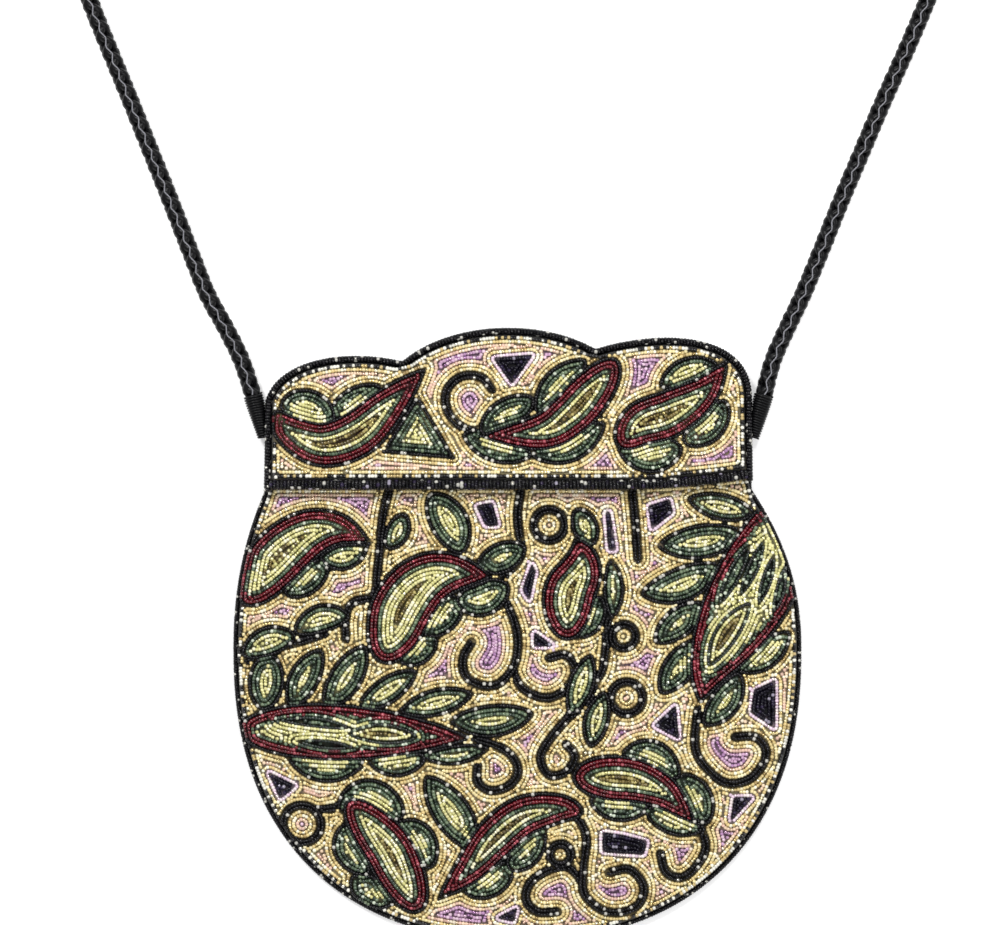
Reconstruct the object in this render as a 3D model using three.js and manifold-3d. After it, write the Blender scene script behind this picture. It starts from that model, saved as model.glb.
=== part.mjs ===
// Beaded evening bag with a scalloped flap and a braided shoulder cord, in millimetres.
// The bag lies on its back: X runs across it, Y towards the scallops, Z up through the beading.
import * as THREE from "three";
import { mergeVertices } from "three/addons/utils/BufferGeometryUtils.js";
import Module from "manifold-3d";

const wasm = await Module();
wasm.setup();

// Outline of the bag
const bagWidth = 190.4;
const bagHeight = 205;
const widestDrop = 4.8;      // the widest line lies this far below half height
const fullness = 2.3;        // 2 would make the lower half an ellipse, more makes it squarer
const neckWidth = 163;
const neckLean = 3;          // the neck sits this far left of the middle
const neckCurve = 2.2;       // the sides draw in slowly at first, then faster
const shoulder = 24.5;       // the straight sides end this far below the top, where the scallops begin
const mouthDrop = 38.5;      // the front panel's top edge lies this far below the top, behind the flap
const flapDrop = 54;         // height of the flap
const flapCornerRise = 4;    // the flap's right corner curls up by this
const bellyRise = 8;         // how far the front swells off the back
const flapLift = 6.5;        // how far the flap's lower edge stands off the front

// Layers of cloth and beads
const fit = 0.3;             // gap that neighbouring layers keep
const seamGap = 0.6;         // gap between an edging and the cloth inside it
const backThickness = 1.4;
const liningThickness = 0.6;
const frontThickness = 1;
const flapClothThickness = 0.8;
const groundBeads = 0.7;
const outlineBeads = 0.4;    // the rows round a motif stand this far above the ground
const leafBeads = 0.4;       // and the leaves this far above those rows
const colourBeads = 0.5;
const frontStep = 36;        // longest edge of a facet of the front panel
const beadStep = 24;         // of its beading
const flapStep = 21;         // of the flap, which bends more
const motifStep = 18;        // and of a paisley

// Edgings
const backOverhang = 0.6;    // the edgings reach past the back panel by this
const borderRadius = 1.2;
const rollRadius = 1.65;
const bandWidth = 3.4;
const edgingSides = 6;

// Widths of the bead rows in a motif
const outlineWidth = 1.6;
const redBand = 3;
const lineHalf = 1.25;
const tuck = 1.8;            // how far the body's beading runs under the flap

// Press stud
const snapX = -2;
const snapAboveEdge = 6.1;   // its centre lies this far above the flap's lower edge
const snapRadius = 3.2;
const snapThickness = 0.7;
const snapHole = 1.5;
const snapNub = 1.1;
const snapNubHeight = 0.5;
const snapSides = 12;

// Shoulder cord
const cordDiameter = 6.5;
const cordSides = 8;
const cordSteps = 26;
const whipTipRadius = 1.5;
const whipTurns = 4;
const whipRidge = 0.2;
const whipSides = 8;
const coilMiddle = 62;       // across the middle of the turns
const coilWidth = 13.6;
const coilHeight = 12.6;
const coilCorner = 3;
const coilSegments = 20;
const tieWidth = 6;
const tieThickness = 0.5;
const whipLine = { left: [[-85.1, 66], [-88.5, 80]], right: [[79.1, 66], [82.5, 80]] };
const coilCentre = [0, 283];
// Cord points, chosen along the way it lies: from the whipped end to the coil
const cordPoints = {
  left: [
    [-88.5, 80.3], [-92.4, 92], [-97.8, 103], [-103.8, 114], [-109.4, 128], [-116, 145], [-122.8, 162],
    [-129.4, 178.5], [-136.2, 195], [-143, 212], [-147.6, 226], [-146, 239], [-137, 248.5],
    [-122, 252], [-104, 250.5], [-84, 248.8], [-63, 250.2], [-44, 251.4], [-25.4, 251.6],
  ],
  right: [
    [82.5, 80.3], [85.6, 92], [90.4, 103], [95.6, 114], [101.4, 128], [108.2, 145], [115.4, 162],
    [122.4, 178.5], [129.8, 195], [137, 212], [142, 226], [140.4, 239], [131, 248.8],
    [116, 252.4], [98, 253.4], [79, 251.8], [60, 250.2], [42, 250.8], [25.4, 251.6],
  ],
};

const halfWidth = bagWidth / 2;
const halfHeight = bagHeight / 2;
const lowerDepth = halfHeight - widestDrop;
const upperDepth = halfHeight + widestDrop;
const neckTop = halfHeight - shoulder;
const mouthHeight = halfHeight - mouthDrop;
const flapEdge = halfHeight - flapDrop;
const frontInset = 2 * borderRadius + seamGap;
const flapInset = 2 * rollRadius + seamGap;

// Underside of each layer, at the rim of the bag
const pocketFloor = backThickness + liningThickness;
const frontLiningBottom = pocketFloor + fit;
const frontPanelBottom = frontLiningBottom + liningThickness + fit;
const bodyGroundBottom = frontPanelBottom + frontThickness + fit;
const flapLiningBottom = pocketFloor + fit;
const flapClothBottom = flapLiningBottom + liningThickness + fit;
const flapGroundBottom = flapClothBottom + flapClothThickness + fit;
const bandThickness = flapGroundBottom + groundBeads - flapLiningBottom;

// Motif places are percent of the half width and half height, so the pattern follows the bag
const paisleys = {
  body: {
    left_shoulder: { spine: [[-93, 15], [-87, 22], [-77, 30], [-66, 35], [-54, 31]], half: 6.8, crest: 0.4 },
    left_heart: { spine: [[-46, -2], [-44, 8], [-36, 16], [-25, 22], [-10, 20]], half: 7.6, crest: 0.4 },
    long: { spine: [[-95, -31], [-76, -31], [-55, -31], [-34, -33], [-16, -33]], half: 8.3, crest: 0.42 },
    lower_right: { spine: [[24, -46], [34, -45], [46, -48], [55, -53], [63, -61]], half: 6.3, crest: 0.4 },
    right_side: { spine: [[84, 40], [84.5, 25], [79, 8], [70, -8], [63, -25]], half: 11.5, crest: 0.5 },
    right_heart: { spine: [[16, 3], [19, 13], [21, 21], [20, 31]], half: 7.6, crest: 0.36 },
    bottom: { spine: [[20, -56], [4, -57], [-7, -64], [-17, -74], [-27, -84]], half: 6, crest: 0.5 },
    lower_left: { spine: [[-57, -57], [-48, -66], [-42, -75], [-38, -85]], half: 6.9, crest: 0.55 },
  },
  flap: {
    flap_left: { spine: [[-84, 70], [-76, 62], [-66, 60], [-53, 65], [-43, 74], [-33, 85]], half: 5.4, crest: 0.5 },
    flap_middle: { spine: [[32, 86], [26, 78], [17, 71], [4, 65], [-12, 64]], half: 6.8, crest: 0.36 },
    flap_right: { spine: [[38, 63], [45, 67], [55, 73], [65, 79], [73, 88]], half: 6, crest: 0.36 },
  },
};

// Each leaf: base, middle, tip, half width in millimetres
const leaves = {
  body: [
    [[-69, 26], [-62, 25], [-56, 29], 3], [[-80, 14], [-72, 15], [-68, 23], 3],
    [[-77, 2], [-70, 7], [-60, 7], 3], [[-95, -7], [-89, -1], [-79, 0], 3],
    [[-89, -24], [-88, -16], [-87, -7], 4.3], [[-79, -22], [-75, -14], [-69, -5], 3.7],
    [[-67, -22], [-60, -14], [-54, -4], 4.3], [[-55, -23], [-46, -18], [-36, -12], 3],
    [[-40, -24], [-31, -22], [-17, -19], 3.3], [[-22, -28], [-10, -27], [4, -25], 4],
    [[-79, -39], [-67, -44], [-55, -39], 2.7], [[-51, -40], [-43, -42], [-34, -40], 2.3],
    [[-33, -39], [-24, -39], [-11, -36], 2], [[-22, 28], [-26, 37], [-30, 45], 4],
    [[-13, 23], [-6, 25], [1, 28], 4], [[-20, 12], [-12, 11], [-5, 16], 3.3],
    [[-32, 2], [-25, 5], [-21, 11], 3], [[-40, -6], [-33, -6], [-31, 0], 3.3],
    [[25, 30], [25, 36], [21, 40], 2.7], [[19, 1], [26, 4], [29, 12], 2.7],
    [[33, 7], [34, 16], [33, 24], 2], [[19, -25], [21, -16], [25, -7], 3],
    [[26, -35], [27, -27], [30, -19], 3], [[82, 40], [73, 41], [61, 44], 3],
    [[77, 34], [64, 31], [50, 29], 4.3], [[69, 22], [56, 17], [44, 14], 4.3],
    [[64, 10], [56, 4], [49, -1], 3.7], [[63, -2], [57, -8], [51, -17], 4],
    [[78, -11], [86, -8], [93, 0], 3], [[66, -28], [73, -22], [77, -12], 3.7],
    [[38, -38], [47, -37], [55, -45], 2.7], [[56, -46], [64, -52], [66, -59], 2.7],
    [[27, -53], [36, -57], [44, -55], 2.3], [[46, -57], [54, -61], [63, -63], 2.3],
    [[-15, -69], [-24, -58], [-31, -47], 4], [[-2, -75], [4, -71], [8, -63], 3],
    [[-17, -83], [-8, -82], [-3, -75], 3], [[-61, -55], [-52, -50], [-42, -57], 3],
    [[-60, -62], [-60, -69], [-53, -77], 3], [[-56, -79], [-52, -84], [-45, -86], 3],
    [[-40, -61], [-32, -65], [-31, -74], 3],
  ],
  flap: [
    [[-80, 76], [-73, 76], [-67, 68], 3.8], [[-66, 69], [-60, 76], [-50, 80], 2.7],
    [[-51, 65], [-40, 65], [-29, 61], 3.8], [[7, 73], [12, 81], [23, 89], 2.7],
    [[-12, 67], [-3, 73], [5, 76], 2.7], [[-18, 65], [-10, 60], [4, 59], 2.6],
    [[6, 59], [18, 61], [29, 68], 3], [[37, 61], [46, 57], [56, 61], 2.7],
    [[60, 64], [68, 67], [72, 75], 2.7], [[51, 82], [59, 86], [68, 87], 2.7],
  ],
};

// Stems and scrolls, each a line of beads along these points
const stems = {
  body: [
    [[-95, -8], [-85, -4], [-76, -2], [-67, 1]],
    [[-45, 47], [-47, 39], [-48, 29], [-49, 20], [-50, 13], [-57, 11], [-60, 7], [-60, -1]],
    [[1, 47], [0, 39], [1, 29], [0, 24], [-8, 16], [-3, 9], [0, 0], [-1, -9], [-6, -15], [-12, -16],
      [-18, -13], [-19, -7], [-16, -2]],
    [[-2, -11], [2, -17], [10, -20], [17, -17], [20, -11], [17, -6], [11, -7]],
    [[40, 47], [41, 38], [42, 25]],
    [[32, 8], [30, -9], [27, -15], [25, -20], [17, -27], [10, -35], [8, -40], [11, -45], [17, -44],
      [20, -39], [17, -35]],
    [[-15, -33], [-6, -36], [-1, -40], [0, -45], [-4, -49], [-10, -50], [-14, -47], [-14, -42]],
    [[63, -24], [62, -36], [66, -43], [73, -48], [81, -47], [86, -42], [87, -37], [83, -33], [76, -33]],
    [[63, -60], [66, -69], [62, -76], [57, -79], [52, -77], [50, -71]],
    [[20, -57], [24, -65], [23, -75], [23, -83], [26, -87], [31, -90], [38, -90], [43, -87], [44, -81],
      [39, -76], [32, -77]],
    [[23, -80], [17, -75], [9, -77], [4, -81], [3, -86], [7, -90], [14, -90]],
    [[-64, -56], [-70, -57]],
  ],
  flap: [[[-9, 66], [-18, 67], [-24, 72], [-25, 79], [-20, 84], [-13, 84], [-9, 80]]],
};

// Closed rings of beads: centre, outer radius
const rings = {
  body: [[[-42, 34], 5.2], [[11, 36], 6.4], [[-75, -60], 6.6], [[38, -20], 6.6], [[37, 0], 4.4]],
  flap: [],
};

// Openings in the ground where the dark filling shows
const lozenges = {
  body: [
    [[-14, 42], [-9, 43], [-7, 36], [-11, 36]], [[46, 42], [53, 44], [54, 40], [47, 35]],
    [[5, 23], [6, 21], [4, 12], [2, 15]], [[-87, -45], [-78, -49], [-83, -53]],
    [[83, -18], [90, -15], [90, -30], [82, -25]], [[55, -23], [56, -33], [48, -29]],
    [[30, -64], [37, -65], [45, -67], [44, -71], [30, -70]], [[76, -53], [82, -53], [75, -60]],
  ],
  flap: [[[-8, 90], [5, 91], [-2, 82]]],
};

const colours = { black: 0x141216, gold: 0xd3c08c, red: 0x7c1422, green: 0x3c5640, steel: 0xb9b7b2 };
const materials = {
  satin: { color: colours.black, roughness: 0.5, metalness: 0 },
  lining: { color: colours.black, roughness: 0.6, metalness: 0 },
  blackBeads: { color: colours.black, roughness: 0.2, metalness: 0 },
  goldBeads: { color: colours.gold, roughness: 0.25, metalness: 0.1 },
  redBeads: { color: colours.red, roughness: 0.25, metalness: 0 },
  greenBeads: { color: colours.green, roughness: 0.25, metalness: 0 },
  cord: { color: colours.black, roughness: 0.45, metalness: 0 },
  steel: { color: colours.steel, roughness: 0.3, metalness: 1 },
};

const bag = new THREE.Group();

function add(name, geometry, material) {
  const mesh = new THREE.Mesh(geometry, new THREE.MeshStandardMaterial(materials[material]));
  mesh.name = name;
  bag.add(mesh);
  return mesh;
}

// The outline and the swell of the front
const clamp = (t) => Math.min(1, Math.max(0, t));
const drawIn = (y) => Math.max(0, (y + widestDrop) / (flapEdge + widestDrop)) ** neckCurve;
const neckShare = (y) => Math.min(1, drawIn(y));
const at = ([u, v]) => new THREE.Vector2((u * halfWidth) / 100, (v * halfHeight) / 100);

function halfWidthAt(y, inset) {
  const narrowing = (halfWidth - neckWidth / 2) * neckShare(y);
  return halfWidth - narrowing - inset;
}

const sideAt = (y, side, inset) => new THREE.Vector2(side * halfWidthAt(y, inset) - neckLean * neckShare(y), y);

// The swell follows the outline, but passes the corner at the flap's edge smoothly
function bellyAt(x, y) {
  const share = drawIn(y) / Math.cbrt(1 + drawIn(y) ** 3);
  const bellyHalf = halfWidth - (halfWidth - neckWidth / 2) * share - frontInset;
  const across = Math.abs(x + neckLean * share) / bellyHalf;
  const rise = y + widestDrop;
  const along = rise < 0 ? -rise / (lowerDepth - frontInset) : rise / upperDepth;
  if (rise < 0) return bellyRise * clamp(1 - across ** fullness - along ** fullness);
  return bellyRise * clamp(1 - across ** fullness) * clamp(1 - along ** fullness);
}

const flapTilt = (y) => flapLift * ((halfHeight - y) / flapDrop) ** 2;
const flapAt = (x, y) => bellyAt(x, y) + flapTilt(y);
const flapEdgeAt = (x) => flapEdge + flapCornerRise * clamp((x - halfWidth / 3) / (halfWidth / 2)) ** 2;

// From the left side at a height, down round the bottom and up the right side
function lowerOutline(leftTop, rightTop, inset) {
  const sideSteps = 5;
  const bottomSteps = 26;
  const bulge = (c) => Math.sign(c) * Math.abs(c) ** (2 / fullness);
  const points = [sideAt(leftTop, -1, inset)];
  for (let i = 0; i < sideSteps; i++) {
    points.push(sideAt(THREE.MathUtils.lerp(flapEdge, -widestDrop, i / sideSteps), -1, inset));
  }
  for (let i = 0; i <= bottomSteps; i++) {
    const angle = (Math.PI * i) / bottomSteps;
    const x = -(halfWidth - inset) * bulge(Math.cos(angle));
    points.push(new THREE.Vector2(x, -widestDrop - (lowerDepth - inset) * bulge(Math.sin(angle))));
  }
  for (let i = 1; i <= sideSteps; i++) {
    points.push(sideAt(THREE.MathUtils.lerp(-widestDrop, flapEdge, i / sideSteps), 1, inset));
  }
  return [...points, sideAt(rightTop, 1, inset)];
}

// The top is three scallops, from right to left, each a Bezier curve with the handles given here
const valleys = [[27.5, 93.5], [-40.5, 89.5]];
const handles = [[[84, 101], [47, 99.5]], [[8, 104], [-24, 102.5]], [[-61, 94], [-85, 90]]];
const scallopStops = [sideAt(neckTop, 1, 0), ...valleys.map(at), sideAt(neckTop, -1, 0)];
const scallops = handles.map(([first, second], i) =>
  new THREE.CubicBezierCurve(scallopStops[i], at(first), at(second), scallopStops[i + 1]));
const outward = (curve, t) => {
  const tangent = curve.getTangent(t);
  return new THREE.Vector2(tangent.y, -tangent.x);
};

// Where two scallops meet, the inset edge turns at a mitred corner
function valleyPoint(i, inset) {
  const before = outward(scallops[i], 1);
  const after = outward(scallops[i + 1], 0);
  const middle = before.clone().add(after).normalize();
  return scallopStops[i + 1].clone().addScaledVector(middle, -inset / middle.dot(before));
}

function scallopPoints(i, inset) {
  const steps = 8;
  const last = scallops.length - 1;
  const start = i === 0 ? sideAt(neckTop, 1, inset) : valleyPoint(i - 1, inset);
  const end = i === last ? sideAt(neckTop, -1, inset) : valleyPoint(i, inset);
  const points = [start];
  for (let step = 1; step < steps; step++) {
    const t = step / steps;
    points.push(scallops[i].getPoint(t).addScaledVector(outward(scallops[i], t), -inset));
  }
  return [...points, end];
}

const topOutline = (inset) => scallops.flatMap((curve, i) => scallopPoints(i, inset).slice(i ? 1 : 0));

function flapLower(inset, raise) {
  const steps = 6;
  const left = sideAt(flapEdge, -1, inset).x;
  const right = sideAt(flapEdge, 1, inset).x;
  const points = [];
  for (let i = 0; i <= steps; i++) {
    const x = THREE.MathUtils.lerp(left, right, i / steps);
    points.push(new THREE.Vector2(x, flapEdgeAt(x) + raise));
  }
  return points;
}

const wholeShape = (inset) =>
  new THREE.Shape([...lowerOutline(neckTop, neckTop, inset), ...topOutline(inset).slice(1, -1)]);
const frontShape = (inset) => new THREE.Shape(lowerOutline(mouthHeight, mouthHeight, inset));
const flapShape = () => new THREE.Shape([...flapLower(flapInset, bandWidth + fit), ...topOutline(flapInset)]);
const bandShape = () =>
  new THREE.Shape([...flapLower(flapInset, 0), ...flapLower(flapInset, bandWidth).reverse()]);

function groundShape() {
  const left = sideAt(flapEdge, -1, frontInset).x;
  const right = sideAt(flapEdge, 1, frontInset).x;
  const sides = lowerOutline(flapEdgeAt(left) + tuck, flapEdgeAt(right) + tuck, frontInset);
  return new THREE.Shape([...sides, ...flapLower(frontInset, tuck).reverse().slice(1, -1)]);
}

// Solids from outlines
function weld(geometry) {
  geometry.deleteAttribute("normal");
  geometry.deleteAttribute("uv");
  return mergeVertices(geometry);
}

const slab = (shape, thickness) =>
  weld(new THREE.ExtrudeGeometry(shape, { depth: thickness, bevelEnabled: false, steps: 1 }));

function toSolid(geometry) {
  return new wasm.Manifold(new wasm.Mesh({
    numProp: 3,
    vertProperties: geometry.getAttribute("position").array,
    triVerts: new Uint32Array(geometry.index.array),
  }));
}

function toGeometry(solid) {
  const mesh = solid.getMesh();
  const geometry = new THREE.BufferGeometry();
  geometry.setAttribute("position", new THREE.BufferAttribute(mesh.vertProperties, 3));
  geometry.setIndex(new THREE.BufferAttribute(mesh.triVerts, 1));
  return mergeVertices(geometry);
}

const join = (solids) => solids.reduce((whole, solid) => whole.add(solid));
const solidSlab = (shape, thickness) => toSolid(slab(shape, thickness));

// Halves every edge longer than a limit, until none is left
function refine(geometry, longest) {
  const position = geometry.getAttribute("position");
  const points = [];
  for (let i = 0; i < position.count; i++) points.push(new THREE.Vector3().fromBufferAttribute(position, i));
  const middles = new Map();
  const middle = (a, b) => {
    const edge = a < b ? `${a} ${b}` : `${b} ${a}`;
    if (!middles.has(edge)) middles.set(edge, points.push(points[a].clone().lerp(points[b], 0.5)) - 1);
    return middles.get(edge);
  };
  const index = geometry.index.array;
  const open = [];
  for (let i = 0; i < index.length; i += 3) open.push([index[i], index[i + 1], index[i + 2]]);
  const facets = [];
  while (open.length) {
    const [a, b, c] = open.pop();
    const turns = [[a, b, c], [b, c, a], [c, a, b]];
    const spans = turns.map(([from, to]) => points[from].distanceTo(points[to]));
    const span = Math.max(...spans);
    const [from, to, opposite] = turns[spans.indexOf(span)];
    if (span <= longest) facets.push(from, to, opposite);
    else open.push([from, middle(from, to), opposite], [middle(from, to), to, opposite]);
  }
  return new THREE.BufferGeometry().setFromPoints(points).setIndex(facets);
}

// Lays a flat solid on the swelling front: its facets are split, then each corner is raised
function lay(geometry, bottom, heightAt, longest) {
  const laid = refine(geometry, longest);
  const position = laid.getAttribute("position");
  for (let i = 0; i < position.count; i++) {
    position.setZ(i, position.getZ(i) + bottom + heightAt(position.getX(i), position.getY(i)));
  }
  laid.computeVertexNormals();
  return laid;
}

// A round edging along points, bent to a height
function edging(points, radius, steps, heightAt) {
  const path = new THREE.CatmullRomCurve3(points.map(({ x, y }) => new THREE.Vector3(x, y, heightAt(y))));
  const section = new THREE.Shape(new THREE.Path().absarc(0, 0, radius, 0, 2 * Math.PI).getPoints(edgingSides / 2));
  return weld(new THREE.ExtrudeGeometry(section, { extrudePath: path, steps, bevelEnabled: false }));
}

// Motif outlines
const splineOf = (points) => new THREE.SplineCurve(points.map(at));

// Both sides of a line, at the half width given along it
function ribbon(curve, halfAt, steps, from = 0, to = 1) {
  const left = [];
  const right = [];
  for (let i = 0; i <= steps; i++) {
    const share = THREE.MathUtils.lerp(from, to, i / steps);
    const point = curve.getPointAt(share);
    const tangent = curve.getTangentAt(share);
    const half = halfAt(i / steps);
    const normal = new THREE.Vector2(-tangent.y, tangent.x).multiplyScalar(half);
    left.push(point.clone().add(normal));
    if (half > 0) right.push(point.clone().sub(normal));
  }
  return new THREE.Shape([...left, ...right.reverse()]);
}

// A paisley is round at its head, widest at its crest and drawn out to a tip
function paisleyShape({ spine, half, crest }, margin) {
  const steps = 8;
  const bluntness = 1.9;
  const curve = splineOf(spine);
  const trim = margin / curve.getLength();
  const swell = (t) => {
    if (t <= 0 || t >= 1) return 0;
    if (t < crest) return Math.sqrt(1 - (1 - t / crest) ** 2);
    return 1 - ((t - crest) / (1 - crest)) ** bluntness;
  };
  return ribbon(curve, (t) => (half - margin) * swell(t), steps, trim, 1 - 2 * trim);
}

function leafShape([base, middle, tip, half]) {
  const steps = 4;
  const swell = (t) => (t <= 0 || t >= 1 ? 0 : Math.sin(Math.PI * t) ** 0.8);
  return ribbon(splineOf([base, middle, tip]), (t) => half * swell(t), steps);
}

function stemShape(points) {
  const curve = splineOf(points);
  const steps = Math.max(2, Math.round(curve.getLength() / (5 * lineHalf)));
  return ribbon(curve, () => lineHalf, steps);
}

function ringShape([centre, radius]) {
  const { x, y } = at(centre);
  const circle = (size, steps) => new THREE.Path().absarc(x, y, size, 0, 2 * Math.PI).getPoints(steps);
  const shape = new THREE.Shape(circle(radius, 5));
  shape.holes.push(new THREE.Path(circle(radius - 2 * lineHalf, 4)));
  return shape;
}

function withOpenings(shape, openings) {
  shape.holes = openings.map((corners) => new THREE.Path(corners.map(at)));
  return shape;
}

// One beaded area: its ground, with the rows round the motifs and the leaves raised on it
function beading(area, outline) {
  const rowHeight = groundBeads + outlineBeads;
  const leafHeight = rowHeight + leafBeads;
  const stand = (shapes, height) => join(shapes.map((shape) => solidSlab(shape, height)));
  const plates = Object.values(paisleys[area]).map((paisley) => paisleyShape(paisley, 0));
  const rows = [...plates, ...stems[area].map(stemShape), ...rings[area].map(ringShape)];
  const leavesBehind = stand(leaves[area].map(leafShape), leafHeight).subtract(stand(plates, leafHeight));
  const raised = stand(rows, rowHeight).add(leavesBehind).intersect(solidSlab(outline, leafHeight));
  return raised.add(solidSlab(withOpenings(outline, lozenges[area]), groundBeads));
}

function beadArea(area, outline, bottom, heightAt, step) {
  const redBottom = bottom + groundBeads + outlineBeads + fit;
  const coreBottom = redBottom + colourBeads + fit;
  add(`${area}_beading`, lay(toGeometry(beading(area, outline)), bottom, heightAt, step), "goldBeads");
  for (const [name, paisley] of Object.entries(paisleys[area])) {
    const red = slab(paisleyShape(paisley, outlineWidth), colourBeads);
    const core = slab(paisleyShape(paisley, outlineWidth + redBand), colourBeads);
    add(`${name}_red_rows`, lay(red, redBottom, heightAt, motifStep), "redBeads");
    add(`${name}_green_core`, lay(core, coreBottom, heightAt, motifStep), "greenBeads");
  }
}

function makePocket() {
  add("back_panel", slab(wholeShape(backOverhang), backThickness), "satin");
  const backLining = slab(wholeShape(frontInset), liningThickness);
  add("back_lining", backLining.translate(0, 0, backThickness), "lining");
  const frontLining = slab(frontShape(frontInset), liningThickness);
  add("front_lining", lay(frontLining, frontLiningBottom, bellyAt, frontStep), "lining");
  const frontPanel = slab(frontShape(frontInset), frontThickness);
  add("front_panel", lay(frontPanel, frontPanelBottom, bellyAt, frontStep), "satin");
}

function makeFlap() {
  const lining = slab(flapShape(), liningThickness);
  const cloth = slab(flapShape(), flapClothThickness);
  const band = slab(bandShape(), bandThickness);
  add("flap_lining", lay(lining, flapLiningBottom, flapAt, flapStep), "lining");
  add("flap_cloth", lay(cloth, flapClothBottom, flapAt, flapStep), "satin");
  add("flap_band", lay(band, flapLiningBottom, flapAt, flapStep), "blackBeads");
}

function makeEdgings() {
  const borderSteps = 34;
  const borderHeight = () => backThickness + fit + borderRadius;
  const borderLine = lowerOutline(mouthHeight, mouthHeight, borderRadius);
  add("body_border", edging(borderLine, borderRadius, borderSteps, borderHeight), "blackBeads");

  const rollSteps = 10;
  const rollHeight = (y) => backThickness + fit + rollRadius + flapTilt(y);
  const corner = (side) => {
    const { x } = sideAt(flapEdge, side, rollRadius);
    return new THREE.Vector2(x, flapEdgeAt(x));
  };
  const runs = scallops.map((curve, i) => scallopPoints(i, rollRadius));
  runs[0].unshift(corner(1));
  runs[runs.length - 1].push(corner(-1));
  const tubes = runs.map((points) => toSolid(edging(points, rollRadius, rollSteps, rollHeight)));
  add("flap_roll", toGeometry(join(tubes)), "blackBeads");
}

const turned = (profile, sides) => {
  const points = profile.map(([radius, height]) => new THREE.Vector2(radius, height));
  return weld(new THREE.LatheGeometry(points, sides));
};

// Sets a turned piece square on a laid surface
function seat(mesh, x, y, z, heightAt) {
  const reach = 1;
  const slopeX = (heightAt(x + reach, y) - heightAt(x - reach, y)) / (2 * reach);
  const slopeY = (heightAt(x, y + reach) - heightAt(x, y - reach)) / (2 * reach);
  const normal = new THREE.Vector3(-slopeX, -slopeY, 1).normalize();
  mesh.quaternion.setFromUnitVectors(new THREE.Vector3(0, 1, 0), normal);
  mesh.position.set(x, y, z + heightAt(x, y));
}

function makeSnap() {
  const y = flapEdge + snapAboveEdge;
  const chamfer = 0.2;
  const holeFloor = chamfer;
  const nubEnd = -snapThickness - snapNubHeight;
  const socket = turned([
    [0, 0], [snapRadius, 0], [snapRadius, snapThickness - chamfer], [snapRadius - chamfer, snapThickness],
    [snapHole, snapThickness], [snapHole, holeFloor], [0, holeFloor],
  ], snapSides);
  const stud = turned([
    [0, nubEnd], [snapNub - chamfer, nubEnd], [snapNub, nubEnd + chamfer], [snapNub, -snapThickness],
    [snapRadius, -snapThickness], [snapRadius, 0], [0, 0],
  ], snapSides);
  seat(add("snap_socket", socket, "steel"), snapX, y, frontPanelBottom + frontThickness + fit, bellyAt);
  seat(add("snap_stud", stud, "steel"), snapX, y, flapLiningBottom - fit, flapAt);
}

// The whipped end of the cord: thread wound round it, tapering to the tip that is sewn to the bag
function whippedEnd(name, [from, to]) {
  const start = new THREE.Vector3(...from, cordDiameter / 2 + whipRidge);
  const end = new THREE.Vector3(...to, start.z);
  const length = start.distanceTo(end);
  const radiusAt = (t) => THREE.MathUtils.lerp(whipTipRadius, cordDiameter / 2, t ** 1.3);
  const profile = [[0, 0], [whipTipRadius, 0]];
  for (let i = 0; i < whipTurns; i++) {
    const middle = (i + 0.5) / whipTurns;
    const after = (i + 1) / whipTurns;
    profile.push([radiusAt(middle) + whipRidge, middle * length], [radiusAt(after), after * length]);
  }
  profile.push([0, length]);
  const mesh = add(name, turned(profile, whipSides), "cord");
  mesh.position.copy(start);
  mesh.quaternion.setFromUnitVectors(new THREE.Vector3(0, 1, 0), end.sub(start).normalize());
}

function cordTube(name, points) {
  const radius = cordDiameter / 2;
  const path = new THREE.CatmullRomCurve3(points.map(([x, y]) => new THREE.Vector3(x, y, radius)));
  const section = new THREE.Shape(new THREE.Path().absarc(0, 0, radius, 0, 2 * Math.PI).getPoints(cordSides / 2));
  const options = { extrudePath: path, steps: cordSteps, bevelEnabled: false };
  add(name, weld(new THREE.ExtrudeGeometry(section, options)), "cord");
}

function makeCoil() {
  const inner = (coilMiddle - coilWidth) / 2;
  const outer = (coilMiddle + coilWidth) / 2;
  const low = tieThickness + fit;
  const high = low + coilHeight;
  const ring = turned([
    [inner, low + coilCorner], [inner + coilCorner, low], [outer - coilCorner, low], [outer, low + coilCorner],
    [outer, high - coilCorner], [outer - coilCorner, high], [inner + coilCorner, high],
    [inner, high - coilCorner], [inner, low + coilCorner],
  ], coilSegments);
  add("cord_coil", ring.rotateX(Math.PI / 2), "cord").position.set(...coilCentre, 0);

  const clear = 2 * fit;
  const near = inner - clear;
  const far = outer + clear;
  const top = high + fit;
  const wall = tieThickness;
  const corners = (points) => points.map(([x, y]) => new THREE.Vector2(x, y));
  const band = new THREE.Shape(corners([
    [near - wall, 0], [far + wall, 0], [far + wall, top + wall], [near - wall, top + wall],
  ]));
  band.holes.push(new THREE.Path(corners([[near, wall], [near, top], [far, top], [far, wall]])));
  const tie = slab(band, tieWidth).translate(0, 0, -tieWidth / 2);
  tie.rotateX(Math.PI / 2).rotateZ(Math.PI / 2);
  add("coil_tie", tie, "cord").position.set(...coilCentre, 0);
}

makePocket();
makeFlap();
makeEdgings();
beadArea("body", groundShape(), bodyGroundBottom, bellyAt, beadStep);
beadArea("flap", flapShape(), flapGroundBottom, flapAt, flapStep);
makeSnap();
for (const side of ["left", "right"]) {
  whippedEnd(`cord_end_${side}`, whipLine[side]);
  cordTube(`cord_${side}`, cordPoints[side]);
}
makeCoil();

export default bag;
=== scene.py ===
import math
import random

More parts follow.
